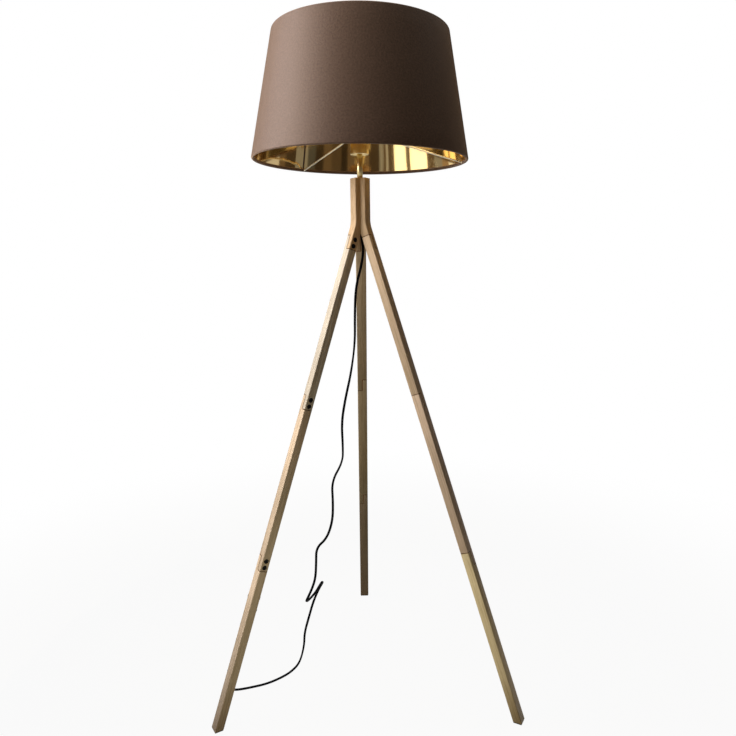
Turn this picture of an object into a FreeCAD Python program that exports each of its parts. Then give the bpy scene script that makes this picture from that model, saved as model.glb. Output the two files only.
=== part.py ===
import FreeCAD, Part
import math
import os

V = FreeCAD.Vector

# Tripod floor lamp: a three-legged wooden stand with bolted half-lap legs, a brass stem and
# lamp holder, and a fabric drum shade with a metallic lining on a wire spider.
# Millimetres. Origin on the floor on the lamp's axis, +Z up, back leg along +Y.

# ---------------------------------------------------------------- wooden stand
BAR_WIDTH = 22.5            # across a bar, along the tangent
BAR_DEPTH = 18.0            # through a bar, towards the axis
LEG_TILT = 19.0             # degrees between a leg and the vertical
SEGMENT_LENGTH = 350.0      # one leg segment, from seam to seam
SEGMENTS_PER_LEG = 3
ELBOW_LEG = 54.0            # elbow's sloping part, from the top seam to the bend
HUB_NECK = 94.0             # elbow's upright part, above the bend
BEND_RADIUS = 60.0          # rounding of the elbow's outer face
LAP_LENGTH = 30.0           # overlap of two segments
SEAM_GAP = 0.4              # end gap left at each shoulder
EDGE_CHAMFER = 0.9
PAD_THICKNESS = 2.0
PAD_INSET = 0.6
LEGS = {"left": 210.0, "right": 330.0, "back": 90.0}   # directions in degrees

# ---------------------------------------------------------------- bolted joints
BOLT_PITCH = 14.0           # between the two bolts of one joint
BOLT_RADIUS = 3.0
BOLT_HOLE_CLEARANCE = 0.2
BOLT_HEAD_RADIUS = 4.9
BOLT_HEAD_HEIGHT = 2.6
BOLT_HEAD_SINK = 0.6        # head top below the wood
COUNTERBORE_CLEARANCE = 0.3
BOLT_KEY_FLATS = 4.0
BOLT_KEY_DEPTH = 1.6
INSERT_WALL = 1.2
INSERT_LENGTH = 9.0
BOLT_IN_INSERT = 8.0
FIT = 0.05                  # gap of screwed and pressed fits

# ---------------------------------------------------------------- stem
TUBE_RADIUS = 5.0           # M10x1 threaded tube
TUBE_WALL = 1.4
SLEEVE_WALL = 0.85
SLIDE_FIT = 0.15
STEM_RISE = 47.0            # hub top to the cup's lower rim
NUT_FLATS = 14.0
NUT_HEIGHT = 3.0
WASHER_THICKNESS = 1.5
HUB_NUT_DEPTH = 48.0        # washer seat below the hub top
NUT_POCKET_CLEARANCE = 0.5
TUBE_BELOW_NUT = 12.0
GRIP_RADIUS = 7.5
GRIP_NOSE_RADIUS = 4.2
GRIP_NOSE_LENGTH = 16.0
TUBE_IN_BODY = 5.0          # tube's end above the holder body's floor

# ---------------------------------------------------------------- lamp holder (E27)
CUP_RADIUS = 19.35
CUP_WALL = 0.9
CUP_HEIGHT = 39.0
CUP_RECESS = 2.5            # open rim below the cup's floor
CUP_FLOOR = 1.2
BODY_RADIUS = 17.3
BODY_WALL = 2.0
BODY_HEIGHT = 20.0
BLOCK_HEIGHT = 8.0
SKIRT_RADIUS = 17.9
SKIRT_HEIGHT = 34.0
SKIRT_LIP = 2.0
SOCKET_RADIUS = 13.3        # bore for the lamp cap
SHELL_WALL = 0.5
SHELL_CLEARANCE = 0.4
CONTACT_WIDTH = 6.0
CONTACT_THICKNESS = 0.5
CONTACT_RISE = 3.0
SHELL_SEAT = 3.8            # insulating ring under the screw shell
TAB_WIDTH = 4.0
TERMINAL_RADIUS = 2.0
TERMINAL_PLACE = 9.0
SHADE_NUT_RADIUS = 22.0
SHADE_NUT_HEIGHT = 7.0

# ---------------------------------------------------------------- shade
SHADE_BOTTOM_RADIUS = 225.0
SHADE_TOP_RADIUS = 180.0
SHADE_HEIGHT = 250.0
FABRIC_THICKNESS = 0.8
LINING_THICKNESS = 0.5
LAMINATE_GAP = 0.1
HEM_HEIGHT = 6.0
RING_WIRE_RADIUS = 2.0
ARM_WIRE_RADIUS = 1.7
SPIDER_RISE = 52.0          # shade rim to the carrier ring
CARRIER_RADIUS = 26.0
CARRIER_THICKNESS = 1.5
SPIDER_DIRECTIONS = (6.0, 126.0, 246.0)

# ---------------------------------------------------------------- cord, switch and plug
CORD_RADIUS = 2.6
CORD_LIE = CORD_RADIUS      # height of the cord's centre on the floor
CORE_RADIUS = 1.0
SWITCH_X, SWITCH_START_Y = -318.5, 60.0
SWITCH_LENGTH = 66.0
SWITCH_WIDTH = 25.0
SWITCH_HEIGHT = 16.0
SWITCH_WALL = 1.8
SWITCH_CORNER = 6.0
ROCKER_LENGTH = 18.0
ROCKER_WIDTH = 9.0
ROCKER_TILT = 7.0           # degrees either side of level
ROCKER_PLAY = 0.4
PIVOT_RADIUS = 1.0
PIVOT_LENGTH = 1.2
CHEEK_THICKNESS = 1.6
SCREW_PLACE = 22.0          # from the switch's middle, along it
CORD_IN_SWITCH = 8.0
CORD_BESIDE_SWITCH = 9.0    # straight run before the cord bends
BLADE_LENGTH, BLADE_WIDTH, BLADE_THICKNESS = 12.0, 4.0, 0.5
BLADE_END = 9.0             # from the switch's middle, across it
POST_LENGTH, POST_THICKNESS = 4.0, 0.8
HANK_X = -320.6
HANK_START_Y, HANK_END_Y = 202.0, 306.0
HANK_FOLD_RADIUS = 15.0
HANK_TOP = 8.8
HANK_FOLD_LENGTH = 28.0     # of each end, before the runs draw together to the tie
HANK_DRAWN_LENGTH = 18.0    # over which they draw together
WAIST_HALF_WIDTH = 6.8      # under the tie: two runs beside each other and one on top
WAIST_SHOULDER_Z, WAIST_TOP_Z = 4.6, 7.8
WAIST_TOP_HALF_WIDTH = 3.0
TIE_THICKNESS = 1.0
TIE_WIDTH = 12.0
BOOT_LENGTH = 24.0
BOOT_RADIUS = 5.0
PLUG_LENGTH = 34.0
PLUG_WIDTH = 35.3
PLUG_REAR_WIDTH = 15.0
PLUG_HEIGHT = 13.7
PIN_RADIUS = 2.0
PIN_LENGTH = 19.0
PIN_SPACING = 18.6
PIN_ROOT = 10.0

# ---------------------------------------------------------------- worked out from the above
TILT = math.radians(LEG_TILT)
LEG_LENGTH = SEGMENTS_PER_LEG * SEGMENT_LENGTH + ELBOW_LEG
FOOT_RADIUS = BAR_DEPTH + LEG_LENGTH * math.sin(TILT)
BEND_Z = LEG_LENGTH * math.cos(TILT)
HUB_TOP = BEND_Z + HUB_NECK
INNER_BEND_Z = BEND_Z - BAR_DEPTH * math.tan(TILT / 2)
NUT_SEAT_Z = HUB_TOP - HUB_NUT_DEPTH
HUB_NUT_BOTTOM = NUT_SEAT_Z - WASHER_THICKNESS - NUT_HEIGHT
TUBE_BOTTOM = HUB_NUT_BOTTOM - TUBE_BELOW_NUT
TUBE_BORE = TUBE_RADIUS - TUBE_WALL
CUP_BOTTOM = HUB_TOP + STEM_RISE
CUP_TOP = CUP_BOTTOM + CUP_HEIGHT
CUP_FLOOR_TOP = CUP_BOTTOM + CUP_RECESS + CUP_FLOOR
BODY_BOTTOM = CUP_FLOOR_TOP + NUT_HEIGHT
BODY_TOP = BODY_BOTTOM + BODY_HEIGHT
TUBE_TOP = BODY_BOTTOM + BODY_WALL + TUBE_IN_BODY
BLOCK_BOTTOM = BODY_TOP - BLOCK_HEIGHT
SKIRT_TOP = BODY_TOP + SKIRT_HEIGHT
CARRIER_BOTTOM = CUP_TOP
CARRIER_TOP = CARRIER_BOTTOM + CARRIER_THICKNESS
SHADE_BOTTOM = CARRIER_BOTTOM - SPIDER_RISE
SHADE_TOP = SHADE_BOTTOM + SHADE_HEIGHT
NUT_CORNER = NUT_FLATS / math.sqrt(3)
NUT_POCKET_RADIUS = max(NUT_CORNER, GRIP_RADIUS) + NUT_POCKET_CLEARANCE


# ---------------------------------------------------------------- shape helpers
def rod(radius, z0, z1, x=0.0, y=0.0):
    return Part.makeCylinder(radius, z1 - z0, V(x, y, z0))


def pipe(outer, inner, z0, z1):
    return rod(outer, z0, z1).cut(rod(inner, z0 - 1, z1 + 1))


def block(x0, x1, y0, y1, z0, z1):
    return Part.makeBox(x1 - x0, y1 - y0, z1 - z0, V(x0, y0, z0))


def face_of(points):
    return Part.Face(Part.makePolygon([V(*p) for p in points + points[:1]]))


def hexagon(flats, z0, z1):
    corner = flats / math.sqrt(3)
    turns = [math.radians(60 * i) for i in range(6)]
    outline = [(corner * math.cos(a), corner * math.sin(a), z0) for a in turns]
    return face_of(outline).extrude(V(0, 0, z1 - z0))


def turned(profile):
    """A solid of revolution about Z from a closed outline of (radius, z)."""
    return face_of([(r, 0, z) for r, z in profile]).revolve(V(0, 0, 0), V(0, 0, 1), 360)


def round_bar(start, end, radius):
    along = end.sub(start)
    return Part.makeCylinder(radius, along.Length, start, along)


def stretched_box(width, length, height, corner, x, y, z):
    """An upright block centred on x, y whose four upright edges are rounded."""
    body = block(x - width / 2, x + width / 2, y - length / 2, y + length / 2, z, z + height)
    upright = [e for e in body.Edges if abs(e.tangentAt(e.FirstParameter).z) > 0.9]
    return body.makeFillet(corner, upright)


# ---------------------------------------------------------------- leg frame
# A leg is drawn with its outer face through the foot point: x outwards, y along the
# tangent towards the bolts, z up along the leg. It is then tilted and turned into place.
def stood(shape):
    shape.rotate(V(0, 0, 0), V(0, 1, 0), -LEG_TILT)
    shape.translate(V(FOOT_RADIUS, 0, 0))
    return shape


def aimed(shape, direction):
    shape.rotate(V(0, 0, 0), V(0, 0, 1), direction)
    return shape


def bar(s0, s1):
    """A bar with chamfered long edges between two stations along the leg."""
    c, half = EDGE_CHAMFER, BAR_WIDTH / 2
    outline = [
        (0, half - c, s0), (-c, half, s0), (c - BAR_DEPTH, half, s0), (-BAR_DEPTH, half - c, s0),
        (-BAR_DEPTH, c - half, s0), (c - BAR_DEPTH, -half, s0), (-c, -half, s0), (0, c - half, s0),
    ]
    return face_of(outline).extrude(V(0, 0, s1 - s0))


def half_cut(s0, s1, side):
    """The half bar on one side of the lap plane; side is +1 towards the bolts."""
    edge = side * BAR_WIDTH
    return block(-2 * BAR_DEPTH, BAR_DEPTH, min(0, edge), max(0, edge), s0, s1)


def across(station, radius, y0, y1):
    """A cylinder across the bar at its mid depth."""
    return Part.makeCylinder(radius, y1 - y0, V(-BAR_DEPTH / 2, y0, station), V(0, 1, 0))


def seams():
    return [SEGMENT_LENGTH * (i + 1) for i in range(SEGMENTS_PER_LEG)]


def bolt_stations(seam):
    middle = seam + LAP_LENGTH / 2
    return (middle - BOLT_PITCH / 2, middle + BOLT_PITCH / 2)


HEAD_SEAT = BAR_WIDTH / 2 - BOLT_HEAD_SINK - BOLT_HEAD_HEIGHT


def drilled_upper(shape, seam):
    """Counterbores and clearance holes in the tongue on the bolt side."""
    for station in bolt_stations(seam):
        head = across(station, BOLT_HEAD_RADIUS + COUNTERBORE_CLEARANCE, HEAD_SEAT, BAR_WIDTH)
        hole = across(station, BOLT_RADIUS + BOLT_HOLE_CLEARANCE, -1, HEAD_SEAT + 1)
        shape = shape.cut(head).cut(hole)
    return shape


def drilled_lower(shape, seam):
    """Blind holes for the threaded inserts in the tongue behind it."""
    outer = BOLT_RADIUS + FIT + INSERT_WALL + FIT
    for station in bolt_stations(seam):
        shape = shape.cut(across(station, outer, -INSERT_LENGTH, 1))
    return shape


def with_lower_tongue(shape, seam, below):
    """Shortens a piece to its tongue between a seam and the shoulder above it."""
    shape = shape.cut(half_cut(below, seam + LAP_LENGTH + SEAM_GAP / 2, -1))
    shape = shape.cut(half_cut(below, seam + SEAM_GAP / 2, 1))
    return drilled_upper(shape, seam)


def segment(index):
    """A leg segment; 0 stands on the foot pad."""
    top = seams()[index]
    bottom = seams()[index - 1] if index else -BAR_DEPTH
    shape = bar(bottom - 1, top + LAP_LENGTH - SEAM_GAP / 2)
    above = top + 2 * LAP_LENGTH
    shape = shape.cut(half_cut(top - SEAM_GAP / 2, above, 1))
    shape = drilled_lower(shape, top)
    if index:
        shape = with_lower_tongue(shape, bottom, bottom - 2)
    shape = stood(shape)
    if not index:
        reach = 2 * FOOT_RADIUS
        shape = shape.cut(block(0, reach, -BAR_WIDTH, BAR_WIDTH, -reach, PAD_THICKNESS))
    return shape


def elbow():
    """The hub piece: an upright neck that bends into the leg and ends in a tongue."""
    sine, cosine = math.sin(TILT), math.cos(TILT)
    seam = seams()[-1]

    def at(station, depth):
        r = FOOT_RADIUS - station * sine - depth * cosine
        return V(r, 0, station * cosine - depth * sine)

    tangent = BEND_RADIUS * math.tan(TILT / 2)
    lower_end = seam - 1
    arc_start = V(BAR_DEPTH, 0, BEND_Z + tangent)
    arc_end = at(LEG_LENGTH - tangent, 0)
    centre = V(BAR_DEPTH + BEND_RADIUS, 0, BEND_Z + tangent)
    middle = centre + V(-BEND_RADIUS * math.cos(TILT / 2), 0, -BEND_RADIUS * math.sin(TILT / 2))
    top_outer, top_inner = V(BAR_DEPTH, 0, HUB_TOP), V(0, 0, HUB_TOP)
    outline = Part.Wire([
        Part.LineSegment(top_outer, arc_start).toShape(),
        Part.Arc(arc_start, middle, arc_end).toShape(),
        Part.LineSegment(arc_end, at(lower_end, 0)).toShape(),
        Part.LineSegment(at(lower_end, 0), at(lower_end, BAR_DEPTH)).toShape(),
        Part.LineSegment(at(lower_end, BAR_DEPTH), V(0, 0, INNER_BEND_Z)).toShape(),
        Part.LineSegment(V(0, 0, INNER_BEND_Z), top_inner).toShape(),
        Part.LineSegment(top_inner, top_outer).toShape(),
    ])
    profile = Part.Face(outline)
    profile.translate(V(0, -BAR_WIDTH / 2, 0))
    body = profile.extrude(V(0, BAR_WIDTH, 0))

    def softened(edge):
        middle_of = edge.CenterOfMass
        at_side = abs(abs(middle_of.y) - BAR_WIDTH / 2) < 0.01
        at_top = middle_of.z > HUB_TOP - 0.01
        at_end = middle_of.z < at(lower_end, 0).z + 0.01
        at_axis = middle_of.x < 0.01
        outer_top = at_top and middle_of.x > BAR_DEPTH - 0.01
        return (at_side and not at_end and not at_axis) or outer_top

    body = body.makeChamfer(EDGE_CHAMFER, [e for e in body.Edges if softened(e)])
    reach = 4 * BAR_WIDTH + LEG_LENGTH
    wedge = face_of([
        (0, 0, 0),
        (reach, -reach * math.sqrt(3), 0),
        (reach, reach * math.sqrt(3), 0),
    ]).extrude(V(0, 0, HUB_TOP + BAR_DEPTH))
    body = body.common(wedge)
    body = body.cut(rod(TUBE_RADIUS + SLIDE_FIT, 0, HUB_TOP + 1))
    body = body.cut(rod(NUT_POCKET_RADIUS, 0, NUT_SEAT_Z))
    upright = body.copy()
    upright.translate(V(-FOOT_RADIUS, 0, 0))
    upright.rotate(V(0, 0, 0), V(0, 1, 0), LEG_TILT)
    return stood(with_lower_tongue(upright, seam, lower_end - BAR_DEPTH))


def foot_pad():
    slope = math.tan(TILT)
    outer = FOOT_RADIUS - PAD_THICKNESS * slope - PAD_INSET
    inner = FOOT_RADIUS - PAD_THICKNESS * slope - BAR_DEPTH / math.cos(TILT) + PAD_INSET
    half = BAR_WIDTH / 2 - PAD_INSET
    pad = block(inner, outer, -half, half, 0, PAD_THICKNESS)
    upright = [e for e in pad.Edges if abs(e.tangentAt(e.FirstParameter).z) > 0.9]
    return pad.makeFillet(EDGE_CHAMFER, upright)


def bolt(station):
    head = across(station, BOLT_HEAD_RADIUS, HEAD_SEAT, HEAD_SEAT + BOLT_HEAD_HEIGHT)
    shank = across(station, BOLT_RADIUS, -BOLT_IN_INSERT, HEAD_SEAT)
    key = hexagon(BOLT_KEY_FLATS, 0, BOLT_KEY_DEPTH + 1)
    key.rotate(V(0, 0, 0), V(1, 0, 0), -90)
    key.translate(V(-BAR_DEPTH / 2, HEAD_SEAT + BOLT_HEAD_HEIGHT - BOLT_KEY_DEPTH, station))
    return head.fuse(shank).removeSplitter().cut(key)


def threaded_insert(station):
    bore = BOLT_RADIUS + FIT
    sleeve = across(station, bore + INSERT_WALL, -INSERT_LENGTH, 0)
    return sleeve.cut(across(station, bore, -INSERT_LENGTH - 1, 1))


def on_leg(make, direction):
    """All six copies of a fastener on one leg, as one group of solids."""
    stations = [s for seam in seams() for s in bolt_stations(seam)]
    return Part.makeCompound([aimed(stood(make(s)), direction) for s in stations])


# ---------------------------------------------------------------- stem and lamp holder
def hex_nut(z0):
    nut = hexagon(NUT_FLATS, z0, z0 + NUT_HEIGHT)
    return nut.cut(rod(TUBE_RADIUS + FIT, z0 - 1, z0 + NUT_HEIGHT + 1))


GRIP_TOP = HUB_NUT_BOTTOM - 1.0
GRIP_BOTTOM = INNER_BEND_Z + 1.0


def cord_grip():
    shoulder = GRIP_BOTTOM + GRIP_NOSE_LENGTH
    shape = turned([
        (0, GRIP_BOTTOM), (GRIP_NOSE_RADIUS, GRIP_BOTTOM), (GRIP_RADIUS, shoulder),
        (GRIP_RADIUS, GRIP_TOP), (0, GRIP_TOP),
    ])
    shape = shape.cut(rod(TUBE_RADIUS + FIT, TUBE_BOTTOM, GRIP_TOP + 1))
    return shape.cut(rod(CORD_RADIUS + FIT, GRIP_BOTTOM - 1, GRIP_TOP))


def holder_cup():
    floor_bottom = CUP_BOTTOM + CUP_RECESS
    inner = CUP_RADIUS - CUP_WALL
    shape = rod(CUP_RADIUS, CUP_BOTTOM, CUP_TOP)
    shape = shape.cut(rod(inner, CUP_BOTTOM - 1, floor_bottom))
    shape = shape.cut(rod(inner, CUP_FLOOR_TOP, CUP_TOP + 1))
    return shape.cut(rod(TUBE_RADIUS + SLIDE_FIT, floor_bottom - 1, CUP_FLOOR_TOP + 1))


def holder_body():
    shape = rod(BODY_RADIUS, BODY_BOTTOM, BODY_TOP)
    shape = shape.cut(rod(BODY_RADIUS - BODY_WALL, BODY_BOTTOM + BODY_WALL, BODY_TOP + 1))
    return shape.cut(rod(TUBE_RADIUS + FIT, BODY_BOTTOM - 1, BODY_TOP))


BLOCK_RADIUS = BODY_RADIUS - BODY_WALL - FIT
CORD_TOP = TUBE_TOP + 1.0
SHELL_BOTTOM = BODY_TOP + SHELL_SEAT
SHELL_RADIUS = SOCKET_RADIUS + SHELL_WALL


def terminal_places():
    return [(TERMINAL_PLACE, 0.0), (-TERMINAL_PLACE, 0.0)]


def contact_block():
    """The insulating block, with a raised ring that carries the screw shell."""
    shape = rod(BLOCK_RADIUS, BLOCK_BOTTOM, BODY_TOP)
    for x, y in terminal_places():
        shape = shape.cut(rod(TERMINAL_RADIUS, BLOCK_BOTTOM - 1, BODY_TOP + 1, x, y))
    ring = pipe(SHELL_RADIUS, TERMINAL_PLACE + TERMINAL_RADIUS + 0.5, BODY_TOP, SHELL_BOTTOM)
    half = TAB_WIDTH / 2 + 0.2
    ring = ring.cut(block(0, 2 * SHELL_RADIUS, -half, half, BODY_TOP - 1, SHELL_BOTTOM + 1))
    return shape.fuse(ring)


def terminal_screws():
    screws = []
    for x, y in terminal_places():
        shank = rod(TERMINAL_RADIUS - FIT, BLOCK_BOTTOM, BODY_TOP, x, y)
        head = rod(TERMINAL_RADIUS * 1.5, BLOCK_BOTTOM - 2, BLOCK_BOTTOM, x, y)
        screws.append(shank.fuse(head).removeSplitter())
    return Part.makeCompound(screws)


def holder_wires():
    """The two cores, from the end of the cord's sheath to the terminal heads."""
    wires = []
    for x, y in terminal_places():
        side = math.copysign(1.0, x)
        bend = V(side * 1.25, y, CORD_TOP + CORE_RADIUS)
        end = V(x - side * (TERMINAL_RADIUS * 1.5 + 0.5), y, BLOCK_BOTTOM - 1.2)
        wire = rod(CORE_RADIUS, CORD_TOP, bend.z, bend.x, y)
        wire = wire.fuse(Part.makeSphere(CORE_RADIUS, bend)).fuse(round_bar(bend, end, CORE_RADIUS))
        wires.append(wire.removeSplitter())
    return Part.makeCompound(wires)


def centre_contact():
    """A bent brass tongue that springs up under the lamp cap."""
    half = CONTACT_WIDTH / 2
    z = BODY_TOP
    t, reach = CONTACT_THICKNESS, SOCKET_RADIUS - 6.0
    outline = [
        (-reach, -half, z), (0, -half, z), (0, -half, z + t), (-reach / 2, -half, z + t),
        (reach, -half, z + CONTACT_RISE), (reach, -half, z + CONTACT_RISE + t),
        (-reach / 2, -half, z + 2 * t), (-reach, -half, z + 2 * t),
    ]
    return face_of(outline).extrude(V(0, CONTACT_WIDTH, 0))


def screw_shell():
    """The threaded sleeve's plain wall, with a tab down to its terminal."""
    half, inner, outer = TAB_WIDTH / 2, SHELL_RADIUS - 2 * SHELL_WALL, SHELL_RADIUS - 0.2
    wall = pipe(SHELL_RADIUS, SOCKET_RADIUS, SHELL_BOTTOM, SKIRT_TOP - SKIRT_LIP)
    tab = block(outer - SHELL_WALL, outer, -half, half, BODY_TOP, SHELL_BOTTOM + SHELL_WALL)
    tab = tab.common(pipe(SHELL_RADIUS, inner, BODY_TOP, SHELL_BOTTOM))
    foot = block(TERMINAL_PLACE, outer, -half, half, BODY_TOP, BODY_TOP + SHELL_WALL)
    return wall.fuse(tab).fuse(foot).removeSplitter()


def holder_skirt():
    shape = rod(SKIRT_RADIUS, BODY_TOP, SKIRT_TOP)
    lip_bottom = SKIRT_TOP - SKIRT_LIP
    shape = shape.cut(rod(SHELL_RADIUS + SHELL_CLEARANCE, BODY_TOP - 1, lip_bottom))
    return shape.cut(rod(SHELL_RADIUS, lip_bottom - 1, SKIRT_TOP + 1))


def shade_nut():
    shape = pipe(SHADE_NUT_RADIUS, SKIRT_RADIUS + FIT, CARRIER_TOP, CARRIER_TOP + SHADE_NUT_HEIGHT)
    for turn in range(0, 360, 30):
        angle = math.radians(turn)
        x, y = SHADE_NUT_RADIUS * math.cos(angle), SHADE_NUT_RADIUS * math.sin(angle)
        shape = shape.cut(rod(1.2, CARRIER_TOP - 1, CARRIER_TOP + SHADE_NUT_HEIGHT + 1, x, y))
    return shape


# ---------------------------------------------------------------- shade
SHADE_SLOPE = (SHADE_BOTTOM_RADIUS - SHADE_TOP_RADIUS) / SHADE_HEIGHT
WIRE_ACROSS = RING_WIRE_RADIUS / math.cos(math.atan(SHADE_SLOPE))
RING_CLEARANCE = 0.15
LINING_OUT = FABRIC_THICKNESS + LAMINATE_GAP
RING_OUT = LINING_OUT + LINING_THICKNESS + RING_CLEARANCE + WIRE_ACROSS
HEM_IN = RING_OUT + WIRE_ACROSS + RING_CLEARANCE


def shade_radius(z):
    return SHADE_BOTTOM_RADIUS - SHADE_SLOPE * (z - SHADE_BOTTOM)


def inset(z, depth):
    return (shade_radius(z) - depth, z)


RING_LOW_Z = SHADE_BOTTOM + FABRIC_THICKNESS + RING_CLEARANCE + RING_WIRE_RADIUS
RING_HIGH_Z = SHADE_TOP - FABRIC_THICKNESS - RING_CLEARANCE - RING_WIRE_RADIUS


def arm_ends(direction):
    angle = math.radians(direction)
    r0 = shade_radius(RING_LOW_Z) - RING_OUT
    r1 = CARRIER_RADIUS - 1.0
    mid = (CARRIER_BOTTOM + CARRIER_TOP) / 2
    return (
        V(r0 * math.cos(angle), r0 * math.sin(angle), RING_LOW_Z),
        V(r1 * math.cos(angle), r1 * math.sin(angle), mid),
    )


def shade_fabric():
    """The outer cover, turned in over the wire ring at both rims."""
    t, deep = FABRIC_THICKNESS, HEM_IN + FABRIC_THICKNESS
    low, high = SHADE_BOTTOM, SHADE_TOP
    shape = turned([
        inset(low, 0), inset(high, 0), inset(high, deep), inset(high - HEM_HEIGHT, deep),
        inset(high - HEM_HEIGHT, HEM_IN), inset(high - t, HEM_IN), inset(high - t, t),
        inset(low + t, t), inset(low + t, HEM_IN), inset(low + HEM_HEIGHT, HEM_IN),
        inset(low + HEM_HEIGHT, deep), inset(low, deep),
    ])
    for direction in SPIDER_DIRECTIONS:
        start, end = arm_ends(direction)
        shape = shape.cut(round_bar(start, end, ARM_WIRE_RADIUS + RING_CLEARANCE))
    return shape


def shade_lining():
    low, high = SHADE_BOTTOM + FABRIC_THICKNESS, SHADE_TOP - FABRIC_THICKNESS
    inner = LINING_OUT + LINING_THICKNESS
    return turned([
        inset(low, LINING_OUT), inset(high, LINING_OUT), inset(high, inner), inset(low, inner),
    ])


def wire_ring(z):
    return Part.makeTorus(shade_radius(z) - RING_OUT, RING_WIRE_RADIUS, V(0, 0, z))


def shade_spider():
    """Bottom ring, three arms and the carrier ring, welded into one frame."""
    frame = wire_ring(RING_LOW_Z)
    for direction in SPIDER_DIRECTIONS:
        frame = frame.fuse(round_bar(*arm_ends(direction), ARM_WIRE_RADIUS))
    return frame.fuse(pipe(CARRIER_RADIUS, SKIRT_RADIUS + 2 * SLIDE_FIT, CARRIER_BOTTOM, CARRIER_TOP))


# ---------------------------------------------------------------- cord
CORD_DROP = [
    (0, 0, GRIP_BOTTOM), (0, 0, 1024), (10, -5, 993), (5, -2, 958), (-11, 0, 912), (-15, 0, 850),
    (-16, 0, 790), (-26, 0, 722), (-39, 0, 668), (-49, 0, 612), (-47, 0, 556), (-48, 0, 520),
    (-74, 0, 475), (-72, 0, 425), (-74, 0, 380), (-88, 0, 338), (-113, 0, 316), (-114, -2, 280),
    (-116, -9, 246), (-124, -18, 222), (-133, -29, 204), (-138, -24, 191), (-136, -11, 185),
    (-127, 6, 188), (-117, 24, 195), (-108, 39, 204), (-102, 51, 207), (-102, 61, 199),
    (-110, 62, 186), (-119, 54, 173), (-128, 43, 154), (-137, 32, 126), (-148, 20, 92),
    (-149, 14, 62), (-160, 8, 22), (-180, 4, CORD_LIE), (-200, -17, CORD_LIE),
    (-232, -40, CORD_LIE), (-270, -52.5, CORD_LIE), (-295, -59, CORD_LIE), (-309, -58.5, CORD_LIE),
    (-319.5, -53.5, CORD_LIE), (-327, -44.5, CORD_LIE), (-330.5, -32, CORD_LIE),
    (-330, -14, CORD_LIE), (-325, 6, CORD_LIE), (-320, 28, 5),
    (SWITCH_X, SWITCH_START_Y - CORD_BESIDE_SWITCH, SWITCH_HEIGHT / 2),
    (SWITCH_X, SWITCH_START_Y + CORD_IN_SWITCH, SWITCH_HEIGHT / 2),
]
SWITCH_END_Y = SWITCH_START_Y + SWITCH_LENGTH
HANK_ENTRY_X = HANK_X + HANK_FOLD_RADIUS - CORD_RADIUS
CORD_LINK = [
    (SWITCH_X, SWITCH_END_Y - CORD_IN_SWITCH, SWITCH_HEIGHT / 2),
    (SWITCH_X, SWITCH_END_Y + CORD_BESIDE_SWITCH, SWITCH_HEIGHT / 2), (-316, 158, 5),
    (HANK_ENTRY_X, 180, CORD_LIE),
    (HANK_ENTRY_X, HANK_START_Y, CORD_LIE),
]


def cord_path(points):
    """Straight runs joined by tangent arcs, and the radius of each arc."""
    corners = [V(*p) for p in points]
    edges, radii, start = [], [], corners[0]
    for before, corner, after in zip(corners, corners[1:], corners[2:]):
        back, ahead = before.sub(corner), after.sub(corner)
        trim = 0.45 * min(back.Length, ahead.Length)
        half_turn = (math.pi - back.getAngle(ahead)) / 2
        back.normalize()
        ahead.normalize()
        first, last = corner + back * trim, corner + ahead * trim
        radius = trim / math.tan(half_turn)
        inward = (back + ahead).normalize()
        middle = corner + inward * (radius / math.cos(half_turn) - radius)
        edges.append(Part.LineSegment(start, first).toShape())
        edges.append(Part.Arc(first, middle, last).toShape())
        radii.append(radius)
        start = last
    edges.append(Part.LineSegment(start, corners[-1]).toShape())
    return Part.Wire(edges), radii


def cord_tube(name, points):
    path, radii = cord_path(points)
    first, second = V(*points[0]), V(*points[1])
    circle = Part.Circle(first, second.sub(first), CORD_RADIUS)
    tube = path.makePipeShell([Part.Wire(circle.toShape())], True, False)
    exact = math.pi * CORD_RADIUS ** 2 * path.Length
    print(name, "length", round(path.Length, 1), "volume ratio", round(tube.Volume / exact, 4))
    print(name, "arc radii", [round(r, 1) for r in radii])
    return tube


HANK_HALF_WIDTH = HANK_FOLD_RADIUS + CORD_RADIUS
TIE_START_Y = (HANK_START_Y + HANK_END_Y - TIE_WIDTH) / 2
TIE_END_Y = TIE_START_Y + TIE_WIDTH


def waist_bar(y0, y1, grow):
    """A bar along Y with the section that the tied runs make, grown outwards."""
    wide, narrow = WAIST_HALF_WIDTH, WAIST_TOP_HALF_WIDTH
    low, shoulder, high = TIE_THICKNESS, WAIST_SHOULDER_Z, WAIST_TOP_Z
    outline = [
        (HANK_X - wide, y0, low), (HANK_X + wide, y0, low), (HANK_X + wide, y0, shoulder),
        (HANK_X + narrow, y0, high), (HANK_X - narrow, y0, high), (HANK_X - wide, y0, shoulder),
    ]
    section = face_of(outline)
    if grow:
        section = section.makeOffset2D(grow)
    return section.extrude(V(0, y1 - y0, 0))


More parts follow.
